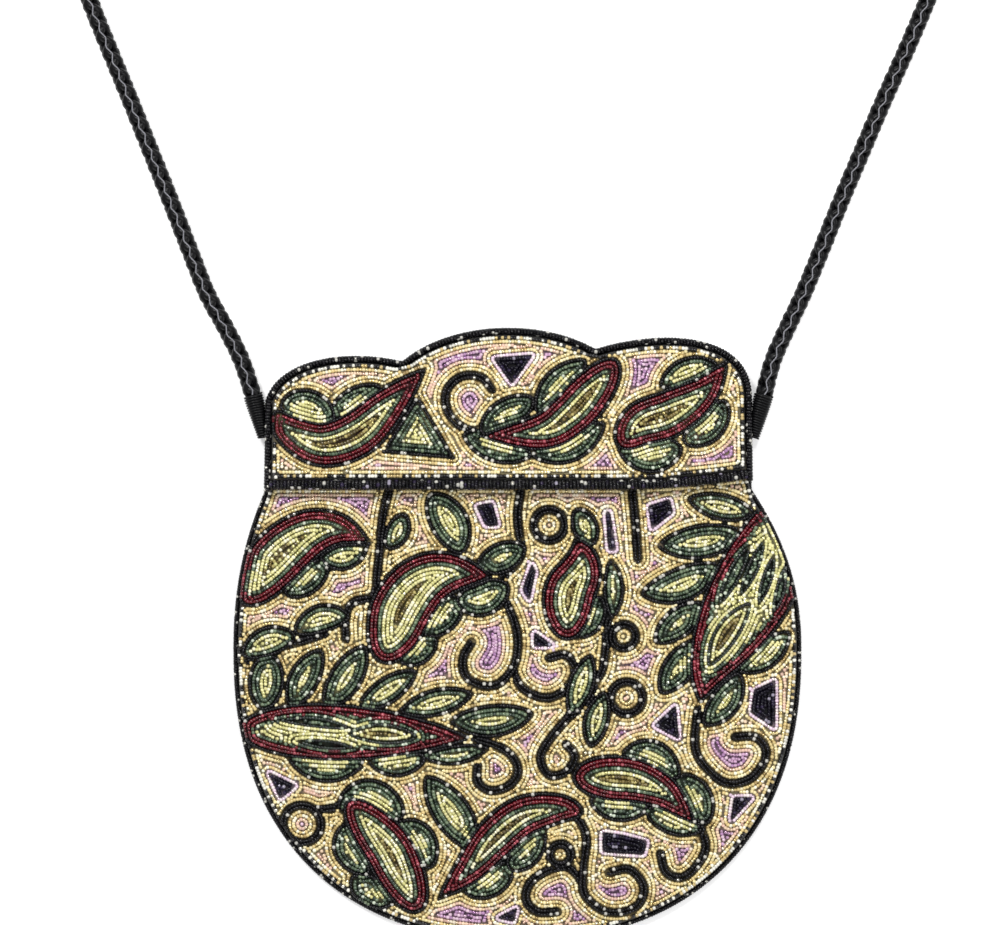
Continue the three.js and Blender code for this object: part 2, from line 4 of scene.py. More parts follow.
import bmesh
import bpy
import numpy as np
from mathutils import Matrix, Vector


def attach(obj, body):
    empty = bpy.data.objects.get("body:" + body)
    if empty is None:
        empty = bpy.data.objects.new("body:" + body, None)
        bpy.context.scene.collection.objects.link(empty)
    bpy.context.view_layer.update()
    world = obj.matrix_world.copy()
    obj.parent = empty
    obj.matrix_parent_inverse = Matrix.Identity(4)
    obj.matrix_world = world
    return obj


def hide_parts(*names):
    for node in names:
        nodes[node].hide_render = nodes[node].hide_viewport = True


# Beaded evening bag lying on its back, with its braided shoulder cord. Sizes are in millimetres,
# and mm turns them into metres where a mesh is made.
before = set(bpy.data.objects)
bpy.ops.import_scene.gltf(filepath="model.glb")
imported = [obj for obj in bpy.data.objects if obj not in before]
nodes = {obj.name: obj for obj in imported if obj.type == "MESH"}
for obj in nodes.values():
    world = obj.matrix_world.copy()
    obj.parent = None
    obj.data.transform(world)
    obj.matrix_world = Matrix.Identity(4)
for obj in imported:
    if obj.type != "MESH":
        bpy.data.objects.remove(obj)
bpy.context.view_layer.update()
scene = bpy.context.scene
mm = 0.001
dice = random.Random(7)
seeded = np.random.default_rng(7)
print("frame loaded:", len(nodes), "nodes")

bag = {
    "halfWidth": 95.2, "halfHeight": 102.5, "widestDrop": 4.8, "fullness": 2.3,
    "neckHalf": 81.5, "neckLean": 3.0, "neckCurve": 2.2, "neckTop": 78.0,
    "mouth": 64.0, "flapEdge": 48.5, "flapCornerRise": 4.0, "flapDrop": 54.0,
    "bellyRise": 8.0, "flapLift": 6.5, "overhang": 0.6, "frontInset": 3.0, "flapInset": 3.9,
    "beadInset": 1.75, "flapBeadInset": 2.7,
}
layers = {  # height of each layer at the rim
    "backTop": 1.4, "backLiningTop": 2.0, "frontLining": 2.3, "frontTop": 4.2, "flapLining": 2.3,
    "flapTop": 4.0,
}


# Camera: straight down on the bag, framed as the photo is
view = {"middle": (-5.83, 57.7), "width": 333.3, "lens": 120.0, "sensor": 36.0, "focusHeight": 8.0}


def addCamera():
    data = bpy.data.cameras.new("camera")
    data.lens = view["lens"]
    data.sensor_width = view["sensor"]
    data.clip_start = 0.05
    data.clip_end = 20.0
    camera = bpy.data.objects.new("camera", data)
    scene.collection.objects.link(camera)
    distance = view["width"] * view["lens"] / view["sensor"]
    x, y = view["middle"]
    camera.location = (x * mm, y * mm, (distance + view["focusHeight"]) * mm)
    scene.camera = camera


addCamera()
scene.view_settings.view_transform = "Standard"


# Meshes
def newObject(name, mesh, material):
    piece = bpy.data.objects.new(name, mesh)
    scene.collection.objects.link(piece)
    mesh.materials.append(material)
    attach(piece, "root")
    return piece


def finishMesh(bm, name, creaseAngle=40.0):
    bmesh.ops.recalc_face_normals(bm, faces=bm.faces[:])
    mesh = bpy.data.meshes.new(name)
    bm.to_mesh(mesh)
    bm.free()
    mesh.shade_smooth()
    mesh.set_sharp_from_angle(angle=math.radians(creaseAngle))
    return mesh


def evenly(points, step=None, count=None):
    points = np.asarray(points, float)
    spans = np.linalg.norm(np.diff(points, axis=0), axis=1)
    reach = np.concatenate([[0.0], np.cumsum(spans)])
    if count is None:
        count = max(2, int(round(reach[-1] / step)) + 1)
    wanted = np.linspace(0.0, reach[-1], count)
    return np.stack([np.interp(wanted, reach, points[:, i]) for i in range(points.shape[1])], axis=1)


def throughPoints(points, perSpan=12):
    # a smooth curve through listed points
    points = np.asarray(points, float)
    padded = np.vstack([2 * points[0] - points[1], points, 2 * points[-1] - points[-2]])
    t = np.linspace(0.0, 1.0, perSpan, endpoint=False)[:, None]
    parts = []
    for a, b, c, d in zip(padded[:-3], padded[1:-2], padded[2:-1], padded[3:]):
        curve = 2 * b + (c - a) * t
        curve += (2 * a - 5 * b + 4 * c - d) * t**2 + (3 * b - a - 3 * c + d) * t**3
        parts.append(curve / 2)
    return np.vstack([*parts, points[-1:]])


def framesAlong(line, out=(0.0, 0.0, 1.0)):
    # sideways and upward directions at each point of a line
    forward = np.gradient(line, axis=0)
    forward /= np.linalg.norm(forward, axis=1, keepdims=True)
    side = np.cross(forward, out)
    side /= np.linalg.norm(side, axis=1, keepdims=True)
    return side, np.cross(side, forward)


def addTube(bm, line, radius, sides, out=(0.0, 0.0, 1.0)):
    # a grid rolled round the line and closed along its seam
    count = len(line)
    side, up = framesAlong(line, out)
    made = bmesh.ops.create_grid(bm, x_segments=sides, y_segments=count - 1, size=0.5)["verts"]
    for vert in made:
        along = int(round((vert.co.y + 0.5) * (count - 1)))
        angle = 2 * math.pi * (vert.co.x + 0.5)
        ring = radius * (math.cos(angle) * side[along] + math.sin(angle) * up[along])
        vert.co = Vector((line[along] + ring) * mm)
    bmesh.ops.remove_doubles(bm, verts=made, dist=1e-7)


def tubePiece(bm, name, sides, creaseAngle, material):
    # closes the open ends of the tubes and makes a piece of them
    ends = [edge for edge in bm.edges if edge.is_boundary]
    bmesh.ops.holes_fill(bm, edges=ends, sides=sides)
    return newObject(name, finishMesh(bm, name, creaseAngle), material)


# Cord: one braid from the left end, round the coil and back to the right end
cord = {
    "diameter": 6.5, "length": 1222.0, "strandRadius": 1.42, "braidRadius": 1.55, "overUnder": 0.27,
    "turnLength": 11.6, "step": 0.85, "sides": 6, "highlightRadius": 0.24, "highlightSwing": 0.62,
    "highlightHeight": 2.98, "highlightSides": 5, "creaseAngle": 80.0, "pathStep": 3.0,
    "coilCentre": (0.0, 283.0), "outerTurn": 34.5, "innerTurn": 27.5, "topTurn": 31.0,
    "lowHeight": 4.05, "topHeight": 9.7, "runHeight": 3.25, "pointsPerTurn": 24,
    "left": [
        (-88.5, 80.3), (-92.4, 92), (-97.8, 103), (-103.8, 114), (-109.4, 128), (-116, 145), (-122.8, 162),
        (-129.4, 178.5), (-136.2, 195), (-143, 212), (-147.6, 226), (-146, 239), (-137, 248.5),
        (-122, 252), (-104, 250.5), (-84, 248.8), (-63, 250.2), (-44, 251.4), (-25.4, 251),
    ],
    "right": [
        (82.5, 80.3), (85.6, 92), (90.4, 103), (95.6, 114), (101.4, 128), (108.2, 145), (115.4, 162),
        (122.4, 178.5), (129.8, 195), (137, 212), (142, 226), (140.4, 239), (131, 248.8),
        (116, 252.4), (98, 253.4), (79, 251.8), (60, 250.2),
    ],
    "offCoil": [(15.0, 252.6, 9.7), (28.0, 252.2, 8.6), (42.0, 251.0, 5.2)],
}


def coilPoints():
    # two turns on the surface, one inside the other, and a third on top of them
    cx, cy = cord["coilCentre"]
    perTurn = cord["pointsPerTurn"]
    points = []
    for i in range(1, 3 * perTurn):
        turns = i / perTurn
        sunk = min(1.0, max(0.0, (turns - 0.85) / 0.3))
        lifted = min(1.0, max(0.0, (turns - 1.8) / 0.4))
        radius = cord["outerTurn"] + (cord["innerTurn"] - cord["outerTurn"]) * sunk
        radius += (cord["topTurn"] - cord["innerTurn"]) * lifted
        height = cord["lowHeight"] + (cord["topHeight"] - cord["lowHeight"]) * lifted
        angle = 2 * math.pi * turns - math.pi / 2
        points.append((cx + radius * math.cos(angle), cy + radius * math.sin(angle), height))
    return points


def cordLine():
    left = [(x, y, cord["runHeight"]) for x, y in cord["left"]]
    right = [(x, y, cord["runHeight"]) for x, y in reversed(cord["right"])]
    return throughPoints([*left, *coilPoints(), *cord["offCoil"], *right], 10)


def lengthOf(line):
    return float(np.linalg.norm(np.diff(line, axis=0), axis=1).sum())


def makeCord(material, highlightMaterial):
    line = evenly(cordLine(), step=cord["step"])
    reach = np.arange(len(line)) * lengthOf(line) / (len(line) - 1)
    side, up = framesAlong(line)
    turn = 2 * np.pi * reach / cord["turnLength"]
    bm = bmesh.new()
    for direction in (1, -1):
        for half in (0, 1):
            angle = direction * turn + half * np.pi + np.pi / 4
            radius = cord["braidRadius"] + direction * cord["overUnder"] * np.cos(2 * turn)
            offset = radius[:, None] * (np.cos(angle)[:, None] * side + np.sin(angle)[:, None] * up)
            addTube(bm, line + offset, cord["strandRadius"], cord["sides"])
    piece = tubePiece(bm, "shoulder_cord", cord["sides"], cord["creaseAngle"], material)

    # a pale grey tube in a zigzag where the strands cross: a painted highlight for the satin's edges
    # catching the light
    swing = np.arcsin(np.sin(2 * turn)) * 2 / np.pi * cord["highlightSwing"]
    zigzag = line + swing[:, None] * side + cord["highlightHeight"] * up
    bm = bmesh.new()
    addTube(bm, zigzag, cord["highlightRadius"], cord["highlightSides"])
    tubePiece(bm, "cord_painted_highlight", cord["highlightSides"], cord["creaseAngle"], highlightMaterial)
    path = evenly(line, step=cord["pathStep"]) * mm
    print("cord length", round(lengthOf(line), 1))
    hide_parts("cord_left", "cord_right", "cord_coil")
    return piece, path


# Thread wound tightly round the cord's ends, and a thin cord round its stored turns
whipping = {
    "thread": 0.4, "turns": 17, "perTurn": 12, "sides": 6, "tipRadius": 1.5, "neckRadius": 2.95,
    "sink": 0.3, "coreRings": 16, "coreSides": 12, "creaseAngle": 60.0,
    "left": [(-85.1, 66.0, 3.4), (-86.6, 73.0, 3.4), (-88.5, 80.3, 3.4)],
    "right": [(79.1, 66.0, 3.4), (80.6, 73.0, 3.4), (82.5, 80.3, 3.4)],
}


def makeWhipping(name, spine, material):
    line = throughPoints(spine)
    count = whipping["turns"] * whipping["perTurn"]
    core = evenly(line, count=count)
    side, up = framesAlong(core)
    t = np.linspace(0, 1, count)
    growth = whipping["neckRadius"] - whipping["tipRadius"]
    radius = whipping["tipRadius"] + growth * np.sin(t * np.pi / 2)
    angle = 2 * np.pi * whipping["turns"] * t
    wound = core + radius[:, None] * (np.cos(angle)[:, None] * side + np.sin(angle)[:, None] * up)
    bm = bmesh.new()
    addTube(bm, wound, whipping["thread"], whipping["sides"], wound - core)

    # a solid core under the thread, as thick as the winding allows at each place
    inner = evenly(line, count=whipping["coreRings"])
    before = set(bm.verts)
    addTube(bm, inner, 1.0, whipping["coreSides"])
    fill = np.interp(np.linspace(0, 1, whipping["coreRings"]), t, radius) - whipping["sink"]
    for vert in set(bm.verts) - before:
        gaps = np.linalg.norm(inner - np.array(vert.co) / mm, axis=1)
        k = int(gaps.argmin())
        middle = Vector(inner[k] * mm)
        vert.co = middle + (vert.co - middle) * fill[k]
    piece = tubePiece(bm, name, whipping["coreSides"], whipping["creaseAngle"], material)
    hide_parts(name.replace("whipping", "cord_end"))


tie = {
    "middle": (0.0, 314.0, 6.95), "half": (7.3, 6.1), "radius": 0.75, "turns": 4, "reach": 2.4,
    "perTurn": 28, "step": 0.9, "sides": 8, "roundness": 0.7, "creaseAngle": 60.0,
}


def makeTie(material):
    # a flattened coil, its corners rounded
    t = np.linspace(0, 1, tie["turns"] * tie["perTurn"])
    angle = 2 * np.pi * tie["turns"] * t
    turned = [np.sign(f(angle)) * np.abs(f(angle)) ** tie["roundness"] for f in (np.cos, np.sin)]
    cx, cy, cz = tie["middle"]
    along = cx + tie["reach"] * (2 * t - 1)
    width, depth = tie["half"]
    line = evenly(
        np.stack([along, cy + width * turned[0], cz + depth * turned[1]], axis=1), step=tie["step"]
    )
    bm = bmesh.new()
    addTube(bm, line, tie["radius"], tie["sides"], (line - [0.0, cy, cz]) * [0.0, 1.0, 1.0])
    piece = tubePiece(bm, "tie_cord", tie["sides"], tie["creaseAngle"], material)
    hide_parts("coil_tie")
    return piece


# Colours are written as they show, and turned into linear light here
def light(red, green, blue):
    linear = []
    for value in (red, green, blue):
        share = value / 255.0
        linear.append(share / 12.92 if share <= 0.04045 else ((share + 0.055) / 1.055) ** 2.4)
    return linear


# Materials
def addNode(tree, kind, **settings):
    node = tree.nodes.new(kind)
    for name, value in settings.items():
        setattr(node, name, value)
    return node


def newMaterial(name):
    material = bpy.data.materials.new(name)
    material.use_nodes = True
    tree = material.node_tree
    return material, tree, tree.nodes["Principled BSDF"]


def addTones(tree, shader, factor, dark, pale):
    tone = addNode(tree, "ShaderNodeMix", data_type="RGBA")
    tone.inputs["A"].default_value = (*light(*dark), 1.0)
    tone.inputs["B"].default_value = (*light(*pale), 1.0)
    tree.links.new(factor, tone.inputs["Factor"])
    tree.links.new(tone.outputs["Result"], shader.inputs["Base Color"])


def addBump(tree, shader, height, strength):
    bump = tree.nodes.new("ShaderNodeBump")
    bump.inputs["Strength"].default_value = strength
    bump.inputs["Distance"].default_value = 0.0001
    tree.links.new(height, bump.inputs["Height"])
    tree.links.new(bump.outputs["Normal"], shader.inputs["Normal"])


def newGroup(name, inputs, outputs):
    group = bpy.data.node_groups.new(name, "ShaderNodeTree")
    for label, kind, value in inputs:
        socket = group.interface.new_socket(name=label, in_out="INPUT", socket_type=kind)
        if value is not None:
            socket.default_value = value
    for label, kind in outputs:
        group.interface.new_socket(name=label, in_out="OUTPUT", socket_type=kind)
    return group, group.nodes.new("NodeGroupInput"), group.nodes.new("NodeGroupOutput")


def clothWeave():
    # fine crossed threads: their height, and a mask of worn and dusty places
    group, inside, outside = newGroup(
        "clothWeave",
        [("Threads per metre", "NodeSocketFloat", 2200.0), ("Cloudiness", "NodeSocketFloat", 60.0)],
        [("Height", "NodeSocketFloat"), ("Wear", "NodeSocketFloat")],
    )
    link = group.links.new
    place = group.nodes.new("ShaderNodeTexCoord")
    scale = addNode(group, "ShaderNodeVectorMath", operation="SCALE")
    link(place.outputs["Object"], scale.inputs[0])
    link(inside.outputs["Threads per metre"], scale.inputs["Scale"])
    threads = []
    for direction in ("X", "Y"):
        wave = addNode(group, "ShaderNodeTexWave", bands_direction=direction)
        wave.inputs["Scale"].default_value = 1.0
        wave.inputs["Distortion"].default_value = 0.6
        link(scale.outputs[0], wave.inputs["Vector"])
        threads.append(wave)
    crossing = addNode(group, "ShaderNodeMath", operation="MAXIMUM")
    link(threads[0].outputs["Fac"], crossing.inputs[0])
    link(threads[1].outputs["Fac"], crossing.inputs[1])
    clouds = group.nodes.new("ShaderNodeTexNoise")
    clouds.inputs["Detail"].default_value = 4.0
    link(place.outputs["Object"], clouds.inputs["Vector"])
    link(inside.outputs["Cloudiness"], clouds.inputs["Scale"])
    link(crossing.outputs[0], outside.inputs["Height"])
    link(clouds.outputs["Fac"], outside.inputs["Wear"])
    return group


weaveGroup = clothWeave()


def clothMaterial(name, dark, pale, threads, roughness, sheen):
    material, tree, shader = newMaterial(name)
    weave = addNode(tree, "ShaderNodeGroup", node_tree=weaveGroup)
    weave.inputs["Threads per metre"].default_value = threads
    addTones(tree, shader, weave.outputs["Wear"], dark, pale)
    addBump(tree, shader, weave.outputs["Height"], 0.35)
    shader.inputs["Roughness"].default_value = roughness
    shader.inputs["Sheen Weight"].default_value = sheen
    shader.inputs["Sheen Roughness"].default_value = 0.4
    return material


def beadMaterial(name, roughness, ior=1.52, coat=0.5):
    # glass beads: each carries its own colour, and some are lined with silver
    material, tree, shader = newMaterial(name)
    colour = addNode(tree, "ShaderNodeAttribute", attribute_name="beadColour")
    lined = addNode(tree, "ShaderNodeAttribute", attribute_name="silverLined")
    tree.links.new(colour.outputs["Color"], shader.inputs["Base Color"])
    gleam = addNode(tree, "ShaderNodeMapRange")
    gleam.inputs["To Min"].default_value = roughness
    gleam.inputs["To Max"].default_value = roughness * 0.6
    tree.links.new(lined.outputs["Fac"], gleam.inputs["Value"])
    tree.links.new(gleam.outputs["Result"], shader.inputs["Roughness"])
    metal = addNode(tree, "ShaderNodeMath", operation="MULTIPLY")
    metal.inputs[1].default_value = 0.8
    tree.links.new(lined.outputs["Fac"], metal.inputs[0])
    tree.links.new(metal.outputs[0], shader.inputs["Metallic"])
    shader.inputs["IOR"].default_value = ior
    shader.inputs["Coat Weight"].default_value = coat
    shader.inputs["Coat Roughness"].default_value = 0.08
    return material


def backingMaterial():
    # the cloth and thread that show between the beads, tinted like the rows above them as their couching
    # thread is, and darkened as painted shade in the gaps
    material, tree, shader = newMaterial("beadBacking")
    colour = addNode(tree, "ShaderNodeAttribute", attribute_name="backingTintAndShade")
    weave = addNode(tree, "ShaderNodeGroup", node_tree=weaveGroup)
    weave.inputs["Threads per metre"].default_value = 2600.0
    tree.links.new(colour.outputs["Color"], shader.inputs["Base Color"])
    addBump(tree, shader, weave.outputs["Height"], 0.4)
    shader.inputs["Roughness"].default_value = 0.8
    return material


def cordMaterial(name, dark, pale):
    # satin strands: fine filaments, silky along their length
    material, tree, shader = newMaterial(name)
    place = tree.nodes.new("ShaderNodeTexCoord")
    grain = tree.nodes.new("ShaderNodeTexNoise")
    grain.inputs["Scale"].default_value = 2600.0
    grain.inputs["Detail"].default_value = 3.0
    tree.links.new(place.outputs["Object"], grain.inputs["Vector"])
    addTones(tree, shader, grain.outputs["Fac"], dark, pale)
    addBump(tree, shader, grain.outputs["Fac"], 0.3)
    shader.inputs["Roughness"].default_value = 0.34
    shader.inputs["Specular IOR Level"].default_value = 0.2
    return material


def steelMaterial():
    material, tree, shader = newMaterial("nickelPlate")
    place = tree.nodes.new("ShaderNodeTexCoord")
    scratches = tree.nodes.new("ShaderNodeTexNoise")
    scratches.inputs["Scale"].default_value = 900.0
    tree.links.new(place.outputs["Object"], scratches.inputs["Vector"])
    rough = tree.nodes.new("ShaderNodeMapRange")
    rough.inputs["To Min"].default_value = 0.18
    rough.inputs["To Max"].default_value = 0.42
    tree.links.new(scratches.outputs["Fac"], rough.inputs["Value"])
    tree.links.new(rough.outputs["Result"], shader.inputs["Roughness"])
    shader.inputs["Base Color"].default_value = (*light(185, 183, 178), 1.0)
    shader.inputs["Metallic"].default_value = 1.0
    return material


satin = clothMaterial("blackSatin", (14, 13, 17), (30, 28, 34), 2200.0, 0.42, 0.2)
liningCloth = clothMaterial("liningSatin", (18, 16, 22), (34, 31, 38), 2600.0, 0.5, 0.15)
beadGlass = {
    "gold_beads": beadMaterial("goldBeadGlass", 0.24, coat=0.3),
    "black_beads": beadMaterial("blackBeadGlass", 0.16, ior=1.36, coat=0.1),
    "red_beads": beadMaterial("redBeadGlass", 0.22),
    "green_beads": beadMaterial("greenBeadGlass", 0.22),
}
backing = backingMaterial()
cordSatin = cordMaterial("braidedSatin", (2, 2, 3), (12, 12, 15))
# painted highlight: a pale grey for the zigzag tube laid where the braid catches the light
cordHighlight = cordMaterial("braidPaintedHighlight", (92, 92, 98), (150, 150, 156))
nickel = steelMaterial()
print("materials made")

cordPiece, cordPath = makeCord(cordSatin, cordHighlight)


# The outline and the swell of the front
def drawIn(y):
    span = bag["flapEdge"] + bag["widestDrop"]
    return np.maximum(0.0, (np.asarray(y, float) + bag["widestDrop"]) / span) ** bag["neckCurve"]


def sideAt(y, side, inset):
    share = np.minimum(1.0, drawIn(y))
    reach = bag["halfWidth"] - (bag["halfWidth"] - bag["neckHalf"]) * share - inset
    return float(side * reach - bag["neckLean"] * share)


def bellyAt(x, y):
    pull = drawIn(y)
    share = pull / np.cbrt(1 + pull**3)
    half = bag["halfWidth"] - (bag["halfWidth"] - bag["neckHalf"]) * share - bag["frontInset"]
    across = np.abs(x + bag["neckLean"] * share) / half
    rise = np.asarray(y, float) + bag["widestDrop"]
    lowerReach = bag["halfHeight"] - bag["widestDrop"] - bag["frontInset"]
    upperReach = bag["halfHeight"] + bag["widestDrop"]
    along = np.where(rise < 0, -rise / lowerReach, rise / upperReach)
    power = bag["fullness"]
    lower = np.clip(1 - across**power - along**power, 0, 1)
    upper = np.clip(1 - across**power, 0, 1) * np.clip(1 - along**power, 0, 1)
    return bag["bellyRise"] * np.where(rise < 0, lower, upper)


def flapTilt(y):
    return bag["flapLift"] * ((bag["halfHeight"] - np.asarray(y, float)) / bag["flapDrop"]) ** 2


def flapAt(x, y):
    return bellyAt(x, y) + flapTilt(y)


def flapEdgeAt(x):
    share = np.clip((np.asarray(x, float) - bag["halfWidth"] / 3) / (bag["halfWidth"] / 2), 0, 1)
    return bag["flapEdge"] + bag["flapCornerRise"] * share**2


def at(point):
    return np.array([point[0] * bag["halfWidth"], point[1] * bag["halfHeight"]]) / 100


def lowerOutline(leftTop, rightTop, inset, sideSteps=16, bottomSteps=110):
    # from the left side at a height, down round the bottom and up the right side
    points = [(sideAt(leftTop, -1, inset), leftTop)] if leftTop > bag["flapEdge"] else []
    heights = np.linspace(min(leftTop, bag["flapEdge"]), -bag["widestDrop"], sideSteps, endpoint=False)
    points += [(sideAt(y, -1, inset), y) for y in heights]
    for i in range(bottomSteps + 1):
        angle = math.pi * i / bottomSteps
        cosine, sine = math.cos(angle), math.sin(angle)
        power = 2 / bag["fullness"]
        x = -(bag["halfWidth"] - inset) * math.copysign(abs(cosine) ** power, cosine)
        depth = bag["halfHeight"] - bag["widestDrop"] - inset
        points.append((x, -bag["widestDrop"] - depth * abs(sine) ** power))
    heights = np.linspace(-bag["widestDrop"], min(rightTop, bag["flapEdge"]), sideSteps + 1)[1:]
    points += [(sideAt(y, 1, inset), y) for y in heights]
    if rightTop > bag["flapEdge"]:
        points.append((sideAt(rightTop, 1, inset), rightTop))
    return np.array(points)


scallop = {  # percent of the half width and half height, from right to left
    "valleys": [(27.5, 93.5), (-40.5, 89.5)],
    "handles": [((84, 101), (47, 99.5)), ((8, 104), (-24, 102.5)), ((-61, 94), (-85, 90))],
}


def topOutline(inset, steps=40):
    ends = [np.array([sideAt(bag["neckTop"], side, 0), bag["neckTop"]]) for side in (1, -1)]
    stops = [ends[0], *[at(valley) for valley in scallop["valleys"]], ends[1]]
    t = np.linspace(0, 1, steps + 1)[:, None]
    points = [stops[0]]
    for start, end, (first, second) in zip(stops[:-1], stops[1:], scallop["handles"]):
        a, b = at(first), at(second)
        curve = start * (1 - t) ** 3 + 3 * a * t * (1 - t) ** 2 + 3 * b * t**2 * (1 - t) + end * t**3
        points.extend(curve[1:])
    points = np.array(points)
    if inset:
        ahead = np.diff(points, axis=0)
        ahead /= np.linalg.norm(ahead, axis=1, keepdims=True)
        outward = np.stack([ahead[:, 1], -ahead[:, 0]], axis=1)
        before = np.vstack([outward[:1], outward])
        after = np.vstack([outward, outward[-1:]])
        middle = before + after
        middle /= np.linalg.norm(middle, axis=1, keepdims=True)
        points = points - inset * middle / np.sum(middle * before, axis=1, keepdims=True)
        for i, side in ((0, 1), (-1, -1)):
            points[i] = (sideAt(bag["neckTop"], side, inset), bag["neckTop"])
    return points


def flapLower(inset, lift, steps=60):
    left = sideAt(bag["flapEdge"], -1, inset)
    right = sideAt(bag["flapEdge"], 1, inset)
    x = np.linspace(left, right, steps + 1)
    return np.stack([x, flapEdgeAt(x) + lift], axis=1)


def wholeLoop(inset):
    return np.vstack([lowerOutline(bag["neckTop"], bag["neckTop"], inset), topOutline(inset)[1:-1]])


def flapLoop(inset, lift):
    return np.vstack([flapLower(inset, lift), topOutline(inset)])


def groundLoop(tuck):
    inset = bag["beadInset"]
    left, right = sideAt(bag["flapEdge"], -1, inset), sideAt(bag["flapEdge"], 1, inset)
    sides = lowerOutline(float(flapEdgeAt(left)) + tuck, float(flapEdgeAt(right)) + tuck, inset)
    return np.vstack([sides, flapLower(inset, tuck)[::-1][1:-1]])


